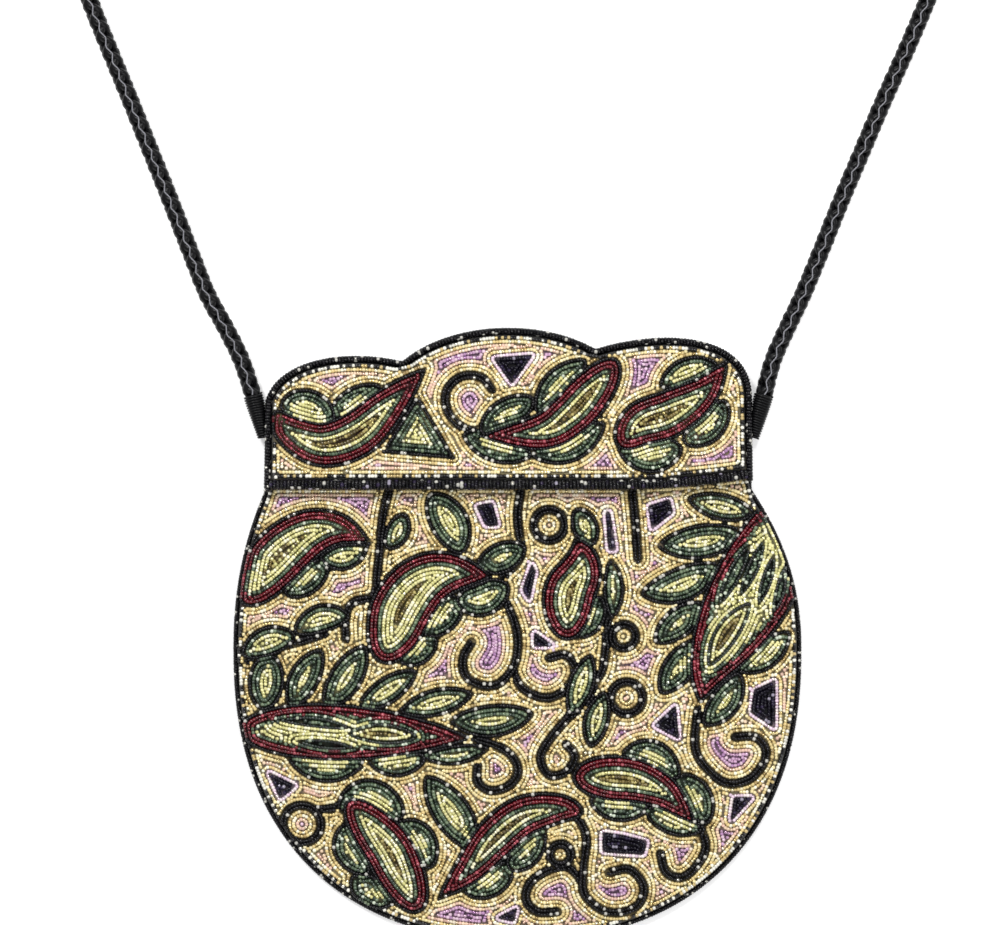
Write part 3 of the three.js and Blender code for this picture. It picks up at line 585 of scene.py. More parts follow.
# The pattern. Places are percent of the half width and half height, half widths are millimetres.
pattern = {
    "body": {
        "paisleys": [  # spine, half width, place of the crest, sharpness of the tail
            ([(-95, 12), (-89, 20), (-81, 28), (-72, 33.5), (-62, 34.5), (-51, 30)], 9.4, 0.33, 1.0),
            ([(-46.5, -6), (-43, 2), (-40, 9.5), (-33.5, 17), (-24, 20.5), (-8.5, 19.5)], 10.4, 0.33, 1.0),
            ([(-96, -31), (-79, -31), (-60, -31.5), (-40, -32), (-15.5, -33)], 9.6, 0.36, 1.0),
            ([(21.5, -45.5), (32, -46), (41.5, -47), (50.5, -50.5), (57, -56), (63, -62)], 7.7, 0.28, 1.0),
            ([(95.5, 43.5), (90.5, 30), (82, 14.5), (74, 1.5), (67, -10.5), (63.5, -22)], 14.2, 0.4, 1.0),
            ([(17.5, 1.5), (17.5, 9), (18.5, 15), (21.5, 20), (22.5, 26), (20.5, 32)], 8.7, 0.38, 1.0),
            ([(22, -57), (14, -56), (2, -58.5), (-8, -66), (-17, -76), (-28, -86)], 7.2, 0.48, 1.0),
            ([(-58.5, -54.5), (-51, -62.5), (-45, -69.5), (-41, -77), (-35.5, -88)], 8.5, 0.55, 0.4),
        ],
        "inlays": [  # pods and lenses laid on the paisleys in rows of their own: spine, half width
            ("pod", [(-84, -27.5), (-70.5, -28), (-56.5, -30)], 1.7),
            ("pod", [(-78, -34), (-68, -35), (-56, -36)], 1.5),
            ("lens", [(-59.5, -31.5), (-47.5, -31.5), (-34.5, -32.5)], 3.3),
            ("pod", [(70, 9.5), (76, 20.5), (81.5, 30)], 2.3),
            ("pod", [(77.5, 12.5), (82.5, 22.5), (86.5, 31.5)], 2.1),
            ("pod", [(84, 9.5), (87.5, 19), (90, 27)], 1.9),
            ("pod", [(89, 6.5), (92, 15), (93.5, 23)], 1.7),
            ("lens", [(66.5, -10), (73, 1), (81.5, 11)], 4.0),
        ],
        "leaves": [  # base, middle, tip, half width
            [(-69.5, 26), (-61, 25.5), (-52.5, 29.5), 4.3], [(-81, 13.5), (-74, 18.5), (-66.5, 24), 5.3],
            [(-78, 1), (-69, 5.5), (-58.5, 6.5), 4.6], [(-96.5, -6.5), (-87.5, -2), (-77.5, 0), 4.8],
            [(-89, -24), (-88, -15), (-87, -6), 5.9], [(-79.5, -24), (-75, -14.5), (-68.5, -4.5), 5],
            [(-67.5, -24), (-60.5, -14.5), (-53, -3), 5.3], [(-56, -24), (-46, -18), (-35, -11), 4.3],
            [(-41, -24.5), (-28.5, -21.5), (-15.5, -18.5), 4.4],
            [(-23.5, -27.5), (-9.5, -27.5), (5.5, -25), 5.3],
            [(-80.5, -39), (-67, -41.5), (-53, -40), 6.3], [(-52.5, -40), (-42.5, -41), (-32, -39.5), 4.7],
            [(-34, -39), (-22, -38.5), (-9.5, -36), 3.2], [(-19.5, 27), (-23.5, 36.5), (-30.5, 46), 6.3],
            [(-14, 22.5), (-6.5, 25), (2.5, 29), 5], [(-21, 11.5), (-13, 12), (-3.5, 16.5), 5.8],
            [(-33.5, 1), (-27, 6.5), (-20, 12), 5.9], [(-41, -6.5), (-36, -3.5), (-30.5, 1), 6.3],
            [(25.5, 29), (23.5, 35.5), (20.5, 41), 4.2], [(18, 0.5), (24.5, 5.5), (29, 12.5), 5],
            [(33, 5.5), (33.5, 15.5), (32.5, 25), 3.3], [(18.5, -25.5), (22, -16), (25.5, -6), 4.3],
            [(25.5, -36), (27.5, -27), (30.5, -18), 4.2], [(83.5, 39.5), (72.5, 41.5), (59.5, 44.5), 4.4],
            [(79.5, 33.5), (64, 30.5), (49, 29), 5.6], [(71, 23), (57, 16.5), (43, 13.5), 5.7],
            [(65, 10.5), (56.5, 4.5), (48, -2), 4.9], [(63.5, -1.5), (56.5, -10), (50, -18.5), 5.2],
            [(77, -11.5), (86.5, -6.5), (95.5, 1), 4.7], [(65, -29), (73, -21), (77.5, -12), 5],
            [(36, -39), (46.5, -39), (56.5, -46), 5.5], [(55, -45.5), (62, -52), (66.5, -61), 5.4],
            [(25.5, -53), (35.5, -55), (45.5, -55.5), 5.3], [(44.5, -56.5), (54.5, -60), (64.5, -63.5), 4.7],
            [(-14, -70), (-22.5, -58), (-32, -45.5), 6.2], [(-3, -76), (3, -70), (8.5, -62), 5.2],
            [(-18.5, -83), (-10.5, -80), (-2, -74.5), 5.6], [(-62.5, -56), (-52, -53), (-40, -58.5), 6.7],
            [(-59, -60.5), (-59.5, -69), (-52.5, -78), 5], [(-57, -78), (-52.5, -83), (-43.5, -86.5), 5.3],
            [(-41, -60.5), (-34.5, -66), (-30.5, -75.5), 5.4],
            [(-45.5, 28.5), (-42, 33.5), (-39.5, 39.5), 3.9],
        ],
        "wedges": [],  # corners
        "stems": [  # the middle line
            [(-95, -8), (-85, -4), (-76, -2), (-67, 1)],
            [(-45, 47), (-47, 39), (-48, 29), (-49, 20), (-50, 13), (-57, 11), (-60, 7), (-60, -1)],
            [(1, 47), (0, 39), (1, 29), (0, 24), (-8, 16), (-3, 9), (0, 0), (-1, -9), (-6, -15),
             (-12, -16), (-18, -13), (-19, -7), (-16, -2)],
            [(-2, -11), (2, -17), (10, -20), (17, -17), (20, -11), (17, -6), (11, -7)],
            [(40, 47), (41, 38), (42, 25)],
            [(32, 8), (30, -9), (27, -15), (25, -20), (17, -27), (10, -35), (8, -40), (11, -45),
             (17, -44), (20, -39), (17, -35)],
            [(-15, -33), (-6, -36), (-1, -40), (0, -45), (-4, -49), (-10, -50), (-14, -47), (-14, -42)],
            [(63, -24), (62, -36), (66, -43), (73, -48), (81, -47), (86, -42), (87, -37), (83, -33),
             (76, -33)],
            [(63, -60), (66, -69), (62, -76), (57, -79), (52, -77), (50, -71)],
            [(20, -57), (24, -65), (23, -75), (23, -83), (26, -87), (31, -90), (38, -90), (43, -87),
             (44, -81), (39, -76), (32, -77)],
            [(23, -80), (17, -75), (9, -77), (4, -81), (3, -86), (7, -90), (14, -90)],
            [(-64, -56), (-70, -57)],
        ],
        "rings": [  # centre, radius in millimetres
            ((11, 36), 6.4), ((-75.5, -61.5), 7.6), ((38, -20), 6.6), ((37, 0), 5.2), ((15, -71), 4.8),
        ],
        "lozenges": [
            [(-14, 42), (-9, 43), (-7, 36), (-11, 36)], [(46, 42), (53, 44), (54, 40), (47, 35)],
            [(5, 23), (6, 21), (4, 12), (2, 15)], [(-87, -45), (-78, -49), (-83, -53)],
            [(83, -18), (90, -15), (90, -30), (82, -25)], [(55, -23), (56, -33), (48, -29)],
            [(30, -64), (37, -65), (45, -67), (44, -71), (30, -70)], [(76, -53), (82, -53), (75, -60)],
            [(31, 40), (32, 40), (34, 28), (32, 28)], [(6, 1), (12, -3), (6, -3)],
            [(-6.5, -92), (-0.5, -89), (-1.5, -93)],
        ],
    },
    "flap": {
        "paisleys": [
            ([(-85, 72), (-79, 66), (-68, 62), (-56, 65.5), (-45, 75), (-32, 87)], 7.9, 0.48, 1.0),
            ([(34, 88.5), (26, 79.5), (18, 71.5), (8, 66), (-14, 64.5)], 7.6, 0.33, 1.0),
            ([(36.5, 62.5), (43, 68.5), (53, 72), (65, 79), (74, 89.5)], 8.0, 0.33, 1.0),
        ],
        "inlays": [],
        "leaves": [
            [(-81.5, 75), (-74.5, 73), (-65.5, 68), 7.5], [(-66.5, 68), (-59, 74), (-48, 81), 5.2],
            [(6.5, 72), (14, 81), (24, 89.5), 5.3], [(-13, 66), (-4.5, 71.5), (6, 77), 5.2],
            [(-19, 65.5), (-7.5, 61.5), (5, 58.5), 5.3], [(4.5, 58.5), (18, 61.5), (30.5, 69), 5.3],
            [(35.5, 61.5), (46.5, 59), (57, 61), 6.3], [(58.5, 62.5), (66.5, 68.5), (73, 76), 5.8],
            [(50, 81), (59, 85.5), (70, 88.5), 4.7],
        ],
        "wedges": [[(-35, 78), (-22, 57.5), (-47, 59.5)]],
        "stems": [[(-9, 66), (-18, 67), (-24, 72), (-25, 79), (-20, 84), (-13, 84), (-9, 80)]],
        "rings": [],
        "lozenges": [[(-8, 90), (5, 91), (-2, 82)]],
    },
}

rows = {  # how the beads are couched down
    "grid": 0.5, "between": 1.3, "first": 0.45, "alongRow": 1.04, "closest": 0.8, "widestGap": 0.98,
    "lineHalf": 1.25, "length": 0.54, "across": 0.68, "height": 0.56, "sunk": 0.46, "beadEnd": 0.7,
    "blunt": 1.9, "leafFullness": 0.8, "levels": 16, "inlayMargin": 3.7, "shortestLine": 0.6,
    "turnSpread": 0.07, "heightSpread": 0.03, "slopeReach": 0.4, "mostPerPiece": 5400,
}
relief = {
    "row": 0.35, "leaf": 0.6, "leafRun": 3.2, "paisley": 1.8, "paisleyRun": 6.0, "pod": 0.25,
    "lens": 0.35, "clothDrop": 0.25,
}
kinds = {"ground": 0, "paisley": 1, "leaf": 2, "stem": 3, "lozenge": 4, "pod": 5, "lens": 6}
farAway = 1e3


def discsOf(spine, halfAt):
    # a motif is the area swept by a disc that runs along its spine
    line = evenly(throughPoints([at(point) for point in spine]), step=0.6)
    return line, halfAt(np.linspace(0, 1, len(line)))


def paisleyHalf(half, crest, tip):
    def swell(t):
        head = np.sqrt(np.clip(1 - (1 - t / crest) ** 2, 0, 1))
        tail = (1 - np.clip((t - crest) / (1 - crest), 0, 1) ** rows["blunt"]) ** tip
        return half * np.where(t < crest, head, tail)
    return swell


def leafHalf(half):
    return lambda t: half * np.sin(np.pi * np.clip(t, 0, 1)) ** rows["leafFullness"]


def motifList(area):
    # topmost first: kind, centres, half widths
    found = []
    for spine, half, crest, tip in pattern[area]["paisleys"]:
        found.append(("paisley", *discsOf(spine, paisleyHalf(half, crest, tip))))
    for base, middle, tip, half in pattern[area]["leaves"]:
        found.append(("leaf", *discsOf([base, middle, tip], leafHalf(half))))
    for centre, radius in pattern[area]["rings"]:
        angle = np.linspace(0, 2 * np.pi, 40)
        middle = radius - rows["lineHalf"]
        circle = at(centre) + middle * np.stack([np.cos(angle), np.sin(angle)], axis=1)
        found.append(("stem", circle, np.full(len(circle), rows["lineHalf"])))
    for spine in pattern[area]["stems"]:
        found.append(("stem", *discsOf(spine, lambda t: np.full(t.shape, rows["lineHalf"]))))
    return found


def polygonDepth(loop, x, y):
    # distance to a closed outline, positive inside
    nearest = np.full(x.shape, 1e9)
    inside = np.zeros(x.shape, bool)
    for (ax, ay), (bx, by) in zip(loop, np.roll(loop, -1, axis=0)):
        dx, dy = bx - ax, by - ay
        span = dx * dx + dy * dy
        if span < 1e-12:
            continue
        t = np.clip(((x - ax) * dx + (y - ay) * dy) / span, 0, 1)
        nearest = np.minimum(nearest, (x - ax - t * dx) ** 2 + (y - ay - t * dy) ** 2)
        if ay != by:
            inside ^= ((ay > y) != (by > y)) & (x < dx * (y - ay) / dy + ax)
    distance = np.sqrt(nearest)
    return np.where(inside, distance, -distance)


def motifDistance(centres, halves, x, y):
    # distance to a motif, negative inside, worked out for the places near it
    reach = halves.max() + 14.0
    low, high = centres.min(0) - reach, centres.max(0) + reach
    columns = np.where((x[0] >= low[0]) & (x[0] <= high[0]))[0]
    lines = np.where((y[:, 0] >= low[1]) & (y[:, 0] <= high[1]))[0]
    field = np.full(x.shape, farAway)
    if len(columns) == 0 or len(lines) == 0:
        return field
    part = np.s_[lines[0]:lines[-1] + 1, columns[0]:columns[-1] + 1]
    best = np.full(x[part].shape, farAway)
    for (cx, cy), half in zip(centres, halves):
        best = np.minimum(best, np.hypot(x[part] - cx, y[part] - cy) - half)
    field[part] = best
    return field


def cornerDistance(corners, x, y):
    loop = np.array([at(corner) for corner in corners])
    return -polygonDepth(loop, x, y)


cellEdges = {  # which sides of a grid cell a line joins, by the corners that lie below it
    1: [(3, 0)], 2: [(0, 1)], 3: [(3, 1)], 4: [(1, 2)], 5: [(3, 0), (1, 2)], 6: [(0, 2)], 7: [(3, 2)],
    8: [(2, 3)], 9: [(0, 2)], 10: [(0, 1), (2, 3)], 11: [(1, 2)], 12: [(1, 3)], 13: [(0, 1)], 14: [(0, 3)],
}


def levelLines(field, level, x, y):
    # the lines along which a field has a value, each as a chain of points
    width = field.shape[1]
    below = field < level
    code = below[:-1, :-1] + 2 * below[:-1, 1:] + 4 * below[1:, 1:] + 8 * below[1:, :-1]
    cellRows, cellColumns = np.where((code > 0) & (code < 15))
    offset = field.size
    neighbours = {}
    for i, j in zip(cellRows.tolist(), cellColumns.tolist()):
        k = i * width + j
        edge = (k, offset + k + 1, k + width, offset + k)
        for first, second in cellEdges[int(code[i, j])]:
            neighbours.setdefault(edge[first], []).append(edge[second])
            neighbours.setdefault(edge[second], []).append(edge[first])

    def place(edge):
        upright = edge >= offset
        i, j = divmod(edge - offset if upright else edge, width)
        k, m = (i + 1, j) if upright else (i, j + 1)
        share = (level - field[i, j]) / (field[k, m] - field[i, j])
        return (x[i, j] + share * (x[k, m] - x[i, j]), y[i, j] + share * (y[k, m] - y[i, j]))

    chains = []
    seen = set()
    for start in sorted(neighbours, key=lambda edge: len(neighbours[edge])):
        if start in seen:
            continue
        chain = [start]
        seen.add(start)
        current = start
        while True:
            ahead = [edge for edge in neighbours[current] if edge not in seen]
            if not ahead:
                break
            current = ahead[0]
            seen.add(current)
            chain.append(current)
        if len(neighbours[start]) == 2 and len(chain) > 2:
            chain.append(start)
        if len(chain) > 2:
            chains.append(np.array([place(edge) for edge in chain]))
    return chains


class Couching:
    # keeps the beads laid so far apart from each other
    def __init__(self):
        self.cells = {}
        self.beads = []

    def nearest(self, x, y):
        i, j = math.floor(x), math.floor(y)
        best = (1e9, 0.0)
        for a in (i - 1, i, i + 1):
            for b in (j - 1, j, j + 1):
                for bx, by, angle in self.cells.get((a, b), ()):
                    gap = (bx - x) ** 2 + (by - y) ** 2
                    if gap < best[0]:
                        best = (gap, angle)
        return math.sqrt(best[0]), best[1]

    def lay(self, x, y, angle):
        self.cells.setdefault((math.floor(x), math.floor(y)), []).append((x, y, angle))
        self.beads.append((x, y, angle))

    def layChain(self, chain):
        spans = np.linalg.norm(np.diff(chain, axis=0), axis=1)
        if spans.sum() < rows["shortestLine"] * rows["alongRow"]:
            return
        points = evenly(chain, step=rows["alongRow"])
        middles = (points[1:] + points[:-1]) / 2
        ways = np.diff(points, axis=0)
        for (x, y), (dx, dy) in zip(middles.tolist(), ways.tolist()):
            if self.nearest(x, y)[0] >= rows["closest"]:
                self.lay(x, y, math.atan2(dy, dx))


def sampled(field, x, y, xs, ys):
    # value between the grid's points
    i = np.clip((ys - y[0, 0]) / rows["grid"], 0, field.shape[0] - 1.001)
    j = np.clip((xs - x[0, 0]) / rows["grid"], 0, field.shape[1] - 1.001)
    i0, j0 = i.astype(int), j.astype(int)
    u, v = i - i0, j - j0
    top = field[i0, j0] * (1 - v) + field[i0, j0 + 1] * v
    bottom = field[i0 + 1, j0] * (1 - v) + field[i0 + 1, j0 + 1] * v
    return top * (1 - u) + bottom * u


def lowered(field, times):
    # each place takes the lowest value near it
    for _ in range(times):
        padded = np.pad(field, 1, mode="edge")
        sides = (padded[:-2, 1:-1], padded[2:, 1:-1], padded[1:-1, :-2], padded[1:-1, 2:])
        field = np.minimum.reduce([field, *sides])
    return field


def softened(field, times):
    for _ in range(times):
        padded = np.pad(field, 1, mode="edge")
        field = (
            4 * padded[1:-1, 1:-1] + 2 * (padded[:-2, 1:-1] + padded[2:, 1:-1])
            + 2 * (padded[1:-1, :-2] + padded[1:-1, 2:])
            + padded[:-2, :-2] + padded[:-2, 2:] + padded[2:, :-2] + padded[2:, 2:]
        ) / 16
    return field


def smooth(t):
    t = np.clip(t, 0, 1)
    return t * t * (3 - 2 * t)


def patternFields(area, loop):
    low, high = loop.min(0) - 2, loop.max(0) + 2
    x, y = np.meshgrid(*[np.arange(low[i], high[i], rows["grid"]) for i in (0, 1)])
    rim = polygonDepth(loop[::2], x, y)
    above = rim.copy()
    kind = np.zeros(x.shape, int)
    depth, height = np.zeros(x.shape), np.zeros(x.shape)
    fullest = np.ones(x.shape)
    visible = []
    motifs = [(name, motifDistance(*shape, x, y), shape[1].max()) for name, *shape in motifList(area)]
    for corners in pattern[area]["wedges"]:
        distance = cornerDistance(corners, x, y)
        motifs.append(("leaf", distance, -distance.min()))
    paisley = np.minimum.reduce([distance for name, distance, _ in motifs if name == "paisley"])
    inlaid = np.full(x.shape, farAway)
    for name, spine, half in pattern[area]["inlays"]:
        distance = motifDistance(*discsOf(spine, leafHalf(half)), x, y)
        inlaid = np.minimum(inlaid, distance)
        motifs.insert(0, (name, np.maximum(distance, paisley + rows["inlayMargin"]), half))

    def swelling(name, distance):
        return relief["row"] + relief[name] * smooth(-distance / relief[name + "Run"])

    for name, distance, fullness in motifs:
        shown = np.maximum(distance, -above)
        mine = shown < 0
        kind[mine] = kinds[name]
        depth[mine] = -distance[mine]
        fullest[mine] = fullness
        if name in ("pod", "lens"):
            height[mine] = (swelling("paisley", paisley) + relief[name])[mine]
        else:
            height[mine] = relief["row"] if name == "stem" else swelling(name, distance)[mine]
        visible.append((name, shown))
        above = np.minimum(above, distance)
    openings = np.full(x.shape, farAway)
    for corners in pattern[area]["lozenges"]:
        openings = np.minimum(openings, cornerDistance(corners, x, y))
    visible.append(("lozenge", np.maximum(openings, -above)))
    kind[(openings < 0) & (above > 0)] = kinds["lozenge"]
    return {
        "x": x, "y": y, "rim": rim, "kind": kind, "depth": depth, "fullest": fullest, "inlaid": inlaid,
        "height": softened(height, 2), "visible": visible, "openings": openings,
        "clothHeight": softened(lowered(height, 4), 2) - relief["clothDrop"],
        "ground": np.where(openings < 0, -1, np.minimum(above, openings)),
    }


def couch(fields):
    # rows along the outline of every motif, then along the ground's, and beads in the gaps left
    laid = Couching()
    x, y = fields["x"], fields["y"]
    for name, shown in fields["visible"]:
        lines = np.where(shown.min(1) < 0)[0]
        columns = np.where(shown.min(0) < 0)[0]
        if len(lines) == 0:
            continue
        part = np.s_[max(0, lines[0] - 2):lines[-1] + 3, max(0, columns[0] - 2):columns[-1] + 3]
        first = rows["lineHalf"] / 2 if name == "stem" else rows["first"]
        for i in range(rows["levels"]):
            level = -(first + i * rows["between"])
            if shown[part].min() > level:
                break
            for chain in levelLines(shown[part], level, x[part], y[part]):
                laid.layChain(chain)
    for i in range(rows["levels"]):
        level = 2 * rows["between"] / 3 + i * rows["between"]
        for chain in levelLines(-fields["ground"], -level, x, y):
            laid.layChain(chain)
    inside = (fields["rim"] > rows["first"]) & (np.abs(fields["openings"]) > 0.2)
    for px, py in zip(x[inside].tolist(), y[inside].tolist()):
        gap, angle = laid.nearest(px, py)
        if gap > rows["widestGap"]:
            laid.lay(px, py, angle)
    return np.array(laid.beads)


# Bead colours, with how often each is used. The palest colour of the black, night, green and rimGreen
# palettes is a painted glint: pale beads scattered among dark ones for the sparkle on the glass.
palettes = {
    # the pale grey (190, 188, 180) is a painted glint on the black glass
    "black": [((13, 12, 15), 20), ((30, 28, 32), 4), ((190, 188, 180), 2)],
    "rim": [((232, 230, 218), 4), ((24, 22, 24), 4), ((196, 174, 120), 2)],
    "edge": [((216, 194, 134), 6), ((160, 136, 86), 2), ((242, 230, 186), 3)],
    "gold": [((236, 220, 166), 6), ((216, 192, 132), 3), ((250, 244, 218), 3)],
    "pale": [((234, 206, 176), 5), ((222, 186, 168), 4), ((244, 230, 206), 2)],
    "lilac": [((198, 160, 190), 5), ((220, 190, 208), 3), ((170, 128, 170), 2)],
    "lilacEdge": [((226, 202, 218), 5), ((242, 228, 228), 3)],
    # the pale (150, 144, 160) is a painted glint on the dark glass
    "night": [((16, 12, 26), 9), ((42, 34, 58), 2), ((150, 144, 160), 1)],
    "crimson": [((106, 14, 28), 7), ((76, 8, 20), 4), ((170, 76, 88), 1)],
    # the pale (196, 206, 186) is a painted glint on the green glass
    "green": [((78, 96, 74), 5), ((112, 128, 100), 3), ((44, 58, 46), 4), ((196, 206, 186), 1)],
    # the pale (176, 186, 160) is a painted glint on the dark green glass
    "rimGreen": [((26, 38, 30), 6), ((14, 14, 15), 4), ((176, 186, 160), 1)],
    "cream": [((226, 220, 158), 5), ((202, 198, 132), 3), ((246, 242, 206), 3)],
    "olive": [((116, 100, 52), 4), ((86, 74, 40), 3), ((170, 156, 96), 2)],
}
slotOf = {
    **dict.fromkeys(["rim", "edge", "gold", "pale", "lilac", "lilacEdge"], "gold_beads"),
    **dict.fromkeys(["green", "rimGreen", "cream", "olive"], "green_beads"),
    **dict.fromkeys(["black", "night"], "black_beads"), "crimson": "red_beads",
}
paletteNames = list(palettes)


def paletteAt(fields, xs, ys):
    # which palette each place takes, as numbers into paletteNames
    x, y = fields["x"], fields["y"]
    i = np.clip(np.rint((ys - y[0, 0]) / rows["grid"]).astype(int), 0, x.shape[0] - 1)
    j = np.clip(np.rint((xs - x[0, 0]) / rows["grid"]).astype(int), 0, x.shape[1] - 1)
    kind, depth, fullest = [fields[key][i, j] for key in ("kind", "depth", "fullest")]
    ground, openings, rim, inlaid = [
        sampled(fields[key], x, y, xs, ys) for key in ("ground", "openings", "rim", "inlaid")
    ]
    row = rows["between"]
    edges = rows["first"] + row * (np.arange(6) + 0.5)
    number = {name: k for k, name in enumerate(paletteNames)}
    found = np.full(xs.shape, number["gold"])

    def paint(where, name):
        found[where] = number[name]

    plain = kind == kinds["ground"]
    paint(plain & (ground < 1.2 * row), "edge")
    paint(plain & (ground > 2.1 * row), "pale")
    paint(plain & (ground > 3.1 * row), "lilac")
    paint(plain & (openings < 1.3 * row), "lilacEdge")
    paint(plain & (rim < edges[0]), "rim")
    paint(kind == kinds["lozenge"], "night")
    paint(kind == kinds["stem"], "black")
    leaf = kind == kinds["leaf"]
    broad = fullest > 4.8
    paint(leaf, "cream")
    paint(leaf & (depth < np.where(broad, edges[2], edges[1])), "green")
    paint(leaf & (depth < edges[0]), "black")
    paisley = kind == kinds["paisley"]
    paint(paisley, "cream")
    paint(paisley & (depth < edges[3]), "green")
    paint(paisley & (depth < edges[2]), "crimson")
    paint(paisley & (depth < edges[0]), "black")
    paint(paisley & (depth > np.maximum(5.2, fullest - 1.2)) & (inlaid > 4), "olive")
    pod, lens = kind == kinds["pod"], kind == kinds["lens"]
    paint(pod, "green")
    paint(lens, "cream")
    paint((pod | lens) & (depth < edges[0]), "rimGreen")
    paint(lens & (depth > fullest - 1.4), "olive")
    return found


def linearPalette(name):
    colours = np.array([light(*colour) for colour, often in palettes[name]])
    often = np.array([often for colour, often in palettes[name]], float)
    return colours, often / often.sum()


def beadTemplate():
    # a short barrel round its thread
    bm = bmesh.new()
    end = rows["beadEnd"]
    bmesh.ops.create_cone(bm, cap_ends=True, segments=5, radius1=end, radius2=end, depth=2.0)
    upright = [edge for edge in bm.edges if abs(edge.verts[0].co.z - edge.verts[1].co.z) > 1.0]
    bmesh.ops.subdivide_edges(bm, edges=upright, cuts=1)
    middle = [vert for vert in bm.verts if abs(vert.co.z) < 0.5]
    bmesh.ops.scale(bm, verts=middle, vec=(1 / end, 1 / end, 1.0))
    bmesh.ops.recalc_face_normals(bm, faces=bm.faces[:])
    bm.verts.ensure_lookup_table()
    corners = np.array([vert.co[:] for vert in bm.verts])
    faces = [[vert.index for vert in face.verts] for face in bm.faces]
    bm.free()
    return corners, faces


beadCorners, beadFaces = beadTemplate()


def addColour(mesh, name, colours):
    rgba = np.concatenate([colours, np.ones((len(colours), 1))], axis=1)
    attribute = mesh.color_attributes.new(name=name, type="FLOAT_COLOR", domain="POINT")
    attribute.data.foreach_set("color", rgba.astype(np.float32).ravel())


def beadMesh(name, beads):
    # one mesh of many beads, each with its middle, its directions, half sizes, colour and lining
    count = len(beads["middle"])
    thread, up = beads["thread"], beads["up"]
    side = np.cross(up, thread)
    size = beads["size"]
    axes = np.stack([side * size[:, 1:2], up * size[:, 2:3], thread * size[:, 0:1]], axis=1)
    corners = beads["middle"][:, None, :] + np.einsum("ck,nkd->ncd", beadCorners, axes)
    perBead = len(beadCorners)
    mesh = bpy.data.meshes.new(name)
    mesh.vertices.add(count * perBead)
    mesh.vertices.foreach_set("co", (corners * mm).astype(np.float32).ravel())
    flat = np.concatenate(beadFaces)
    faceStarts = np.cumsum([0, *[len(face) for face in beadFaces[:-1]]])
    shift = np.arange(count)[:, None]
    mesh.loops.add(count * len(flat))
    corner = (flat + shift * perBead).astype(np.int32)
    mesh.loops.foreach_set("vertex_index", corner.ravel())
    mesh.polygons.add(count * len(beadFaces))
    starts = (faceStarts + shift * len(flat)).astype(np.int32)
    mesh.polygons.foreach_set("loop_start", starts.ravel())
    mesh.update(calc_edges=True)
    mesh.validate()
    mesh.shade_smooth()
    addColour(mesh, "beadColour", np.repeat(beads["colour"], perBead, axis=0))
    lined = mesh.attributes.new(name="silverLined", type="FLOAT", domain="POINT")
    lined.data.foreach_set("value", np.repeat(beads["lined"], perBead).astype(np.float32))
    return mesh


def pickColours(names):
    # each bead's colour and silver lining, from the palettes named
    colours = np.zeros((len(names), 3))
    lined = np.zeros(len(names))
    for name in set(names):
        where = np.array([n == name for n in names])
        choices, often = linearPalette(name)
        picked = seeded.choice(len(choices), size=where.sum(), p=often)
        colours[where] = choices[picked] * seeded.uniform(0.86, 1.12, (where.sum(), 1))
        often = 0.16 if slotOf[name] == "black_beads" else 0.3
        lined[where] = (seeded.random(where.sum()) < often) * seeded.uniform(0.5, 1.0, where.sum())
    return np.clip(colours, 0, 1), lined


def splitBeads(beads, slots, mostBeads):
    # groups of beads by material slot, cut from left to right so that no piece is too heavy
    for slotName in sorted(set(slots)):
        chosen = np.where(np.array(slots) == slotName)[0]
        chosen = chosen[np.argsort(beads["middle"][chosen, 0])]
        parts = math.ceil(len(chosen) / mostBeads)
        for i, part in enumerate(np.array_split(chosen, parts)):
            yield slotName, i, parts, {key: value[part] for key, value in beads.items()}


paisleyNames = {
    "body": [
        "left_shoulder", "left_heart", "long", "lower_right", "right_side", "right_heart", "bottom",
        "lower_left",
    ],
    "flap": ["flap_left", "flap_middle", "flap_right"],
}


def replacedBy(area, slotName):
    # the CAD nodes whose place the beads of one slot take
    if slotName in ("gold_beads", "black_beads"):
        return [f"{area}_beading"]
    ending = "red_rows" if slotName == "red_beads" else "green_core"
    return [f"{name}_{ending}" for name in paisleyNames[area]]


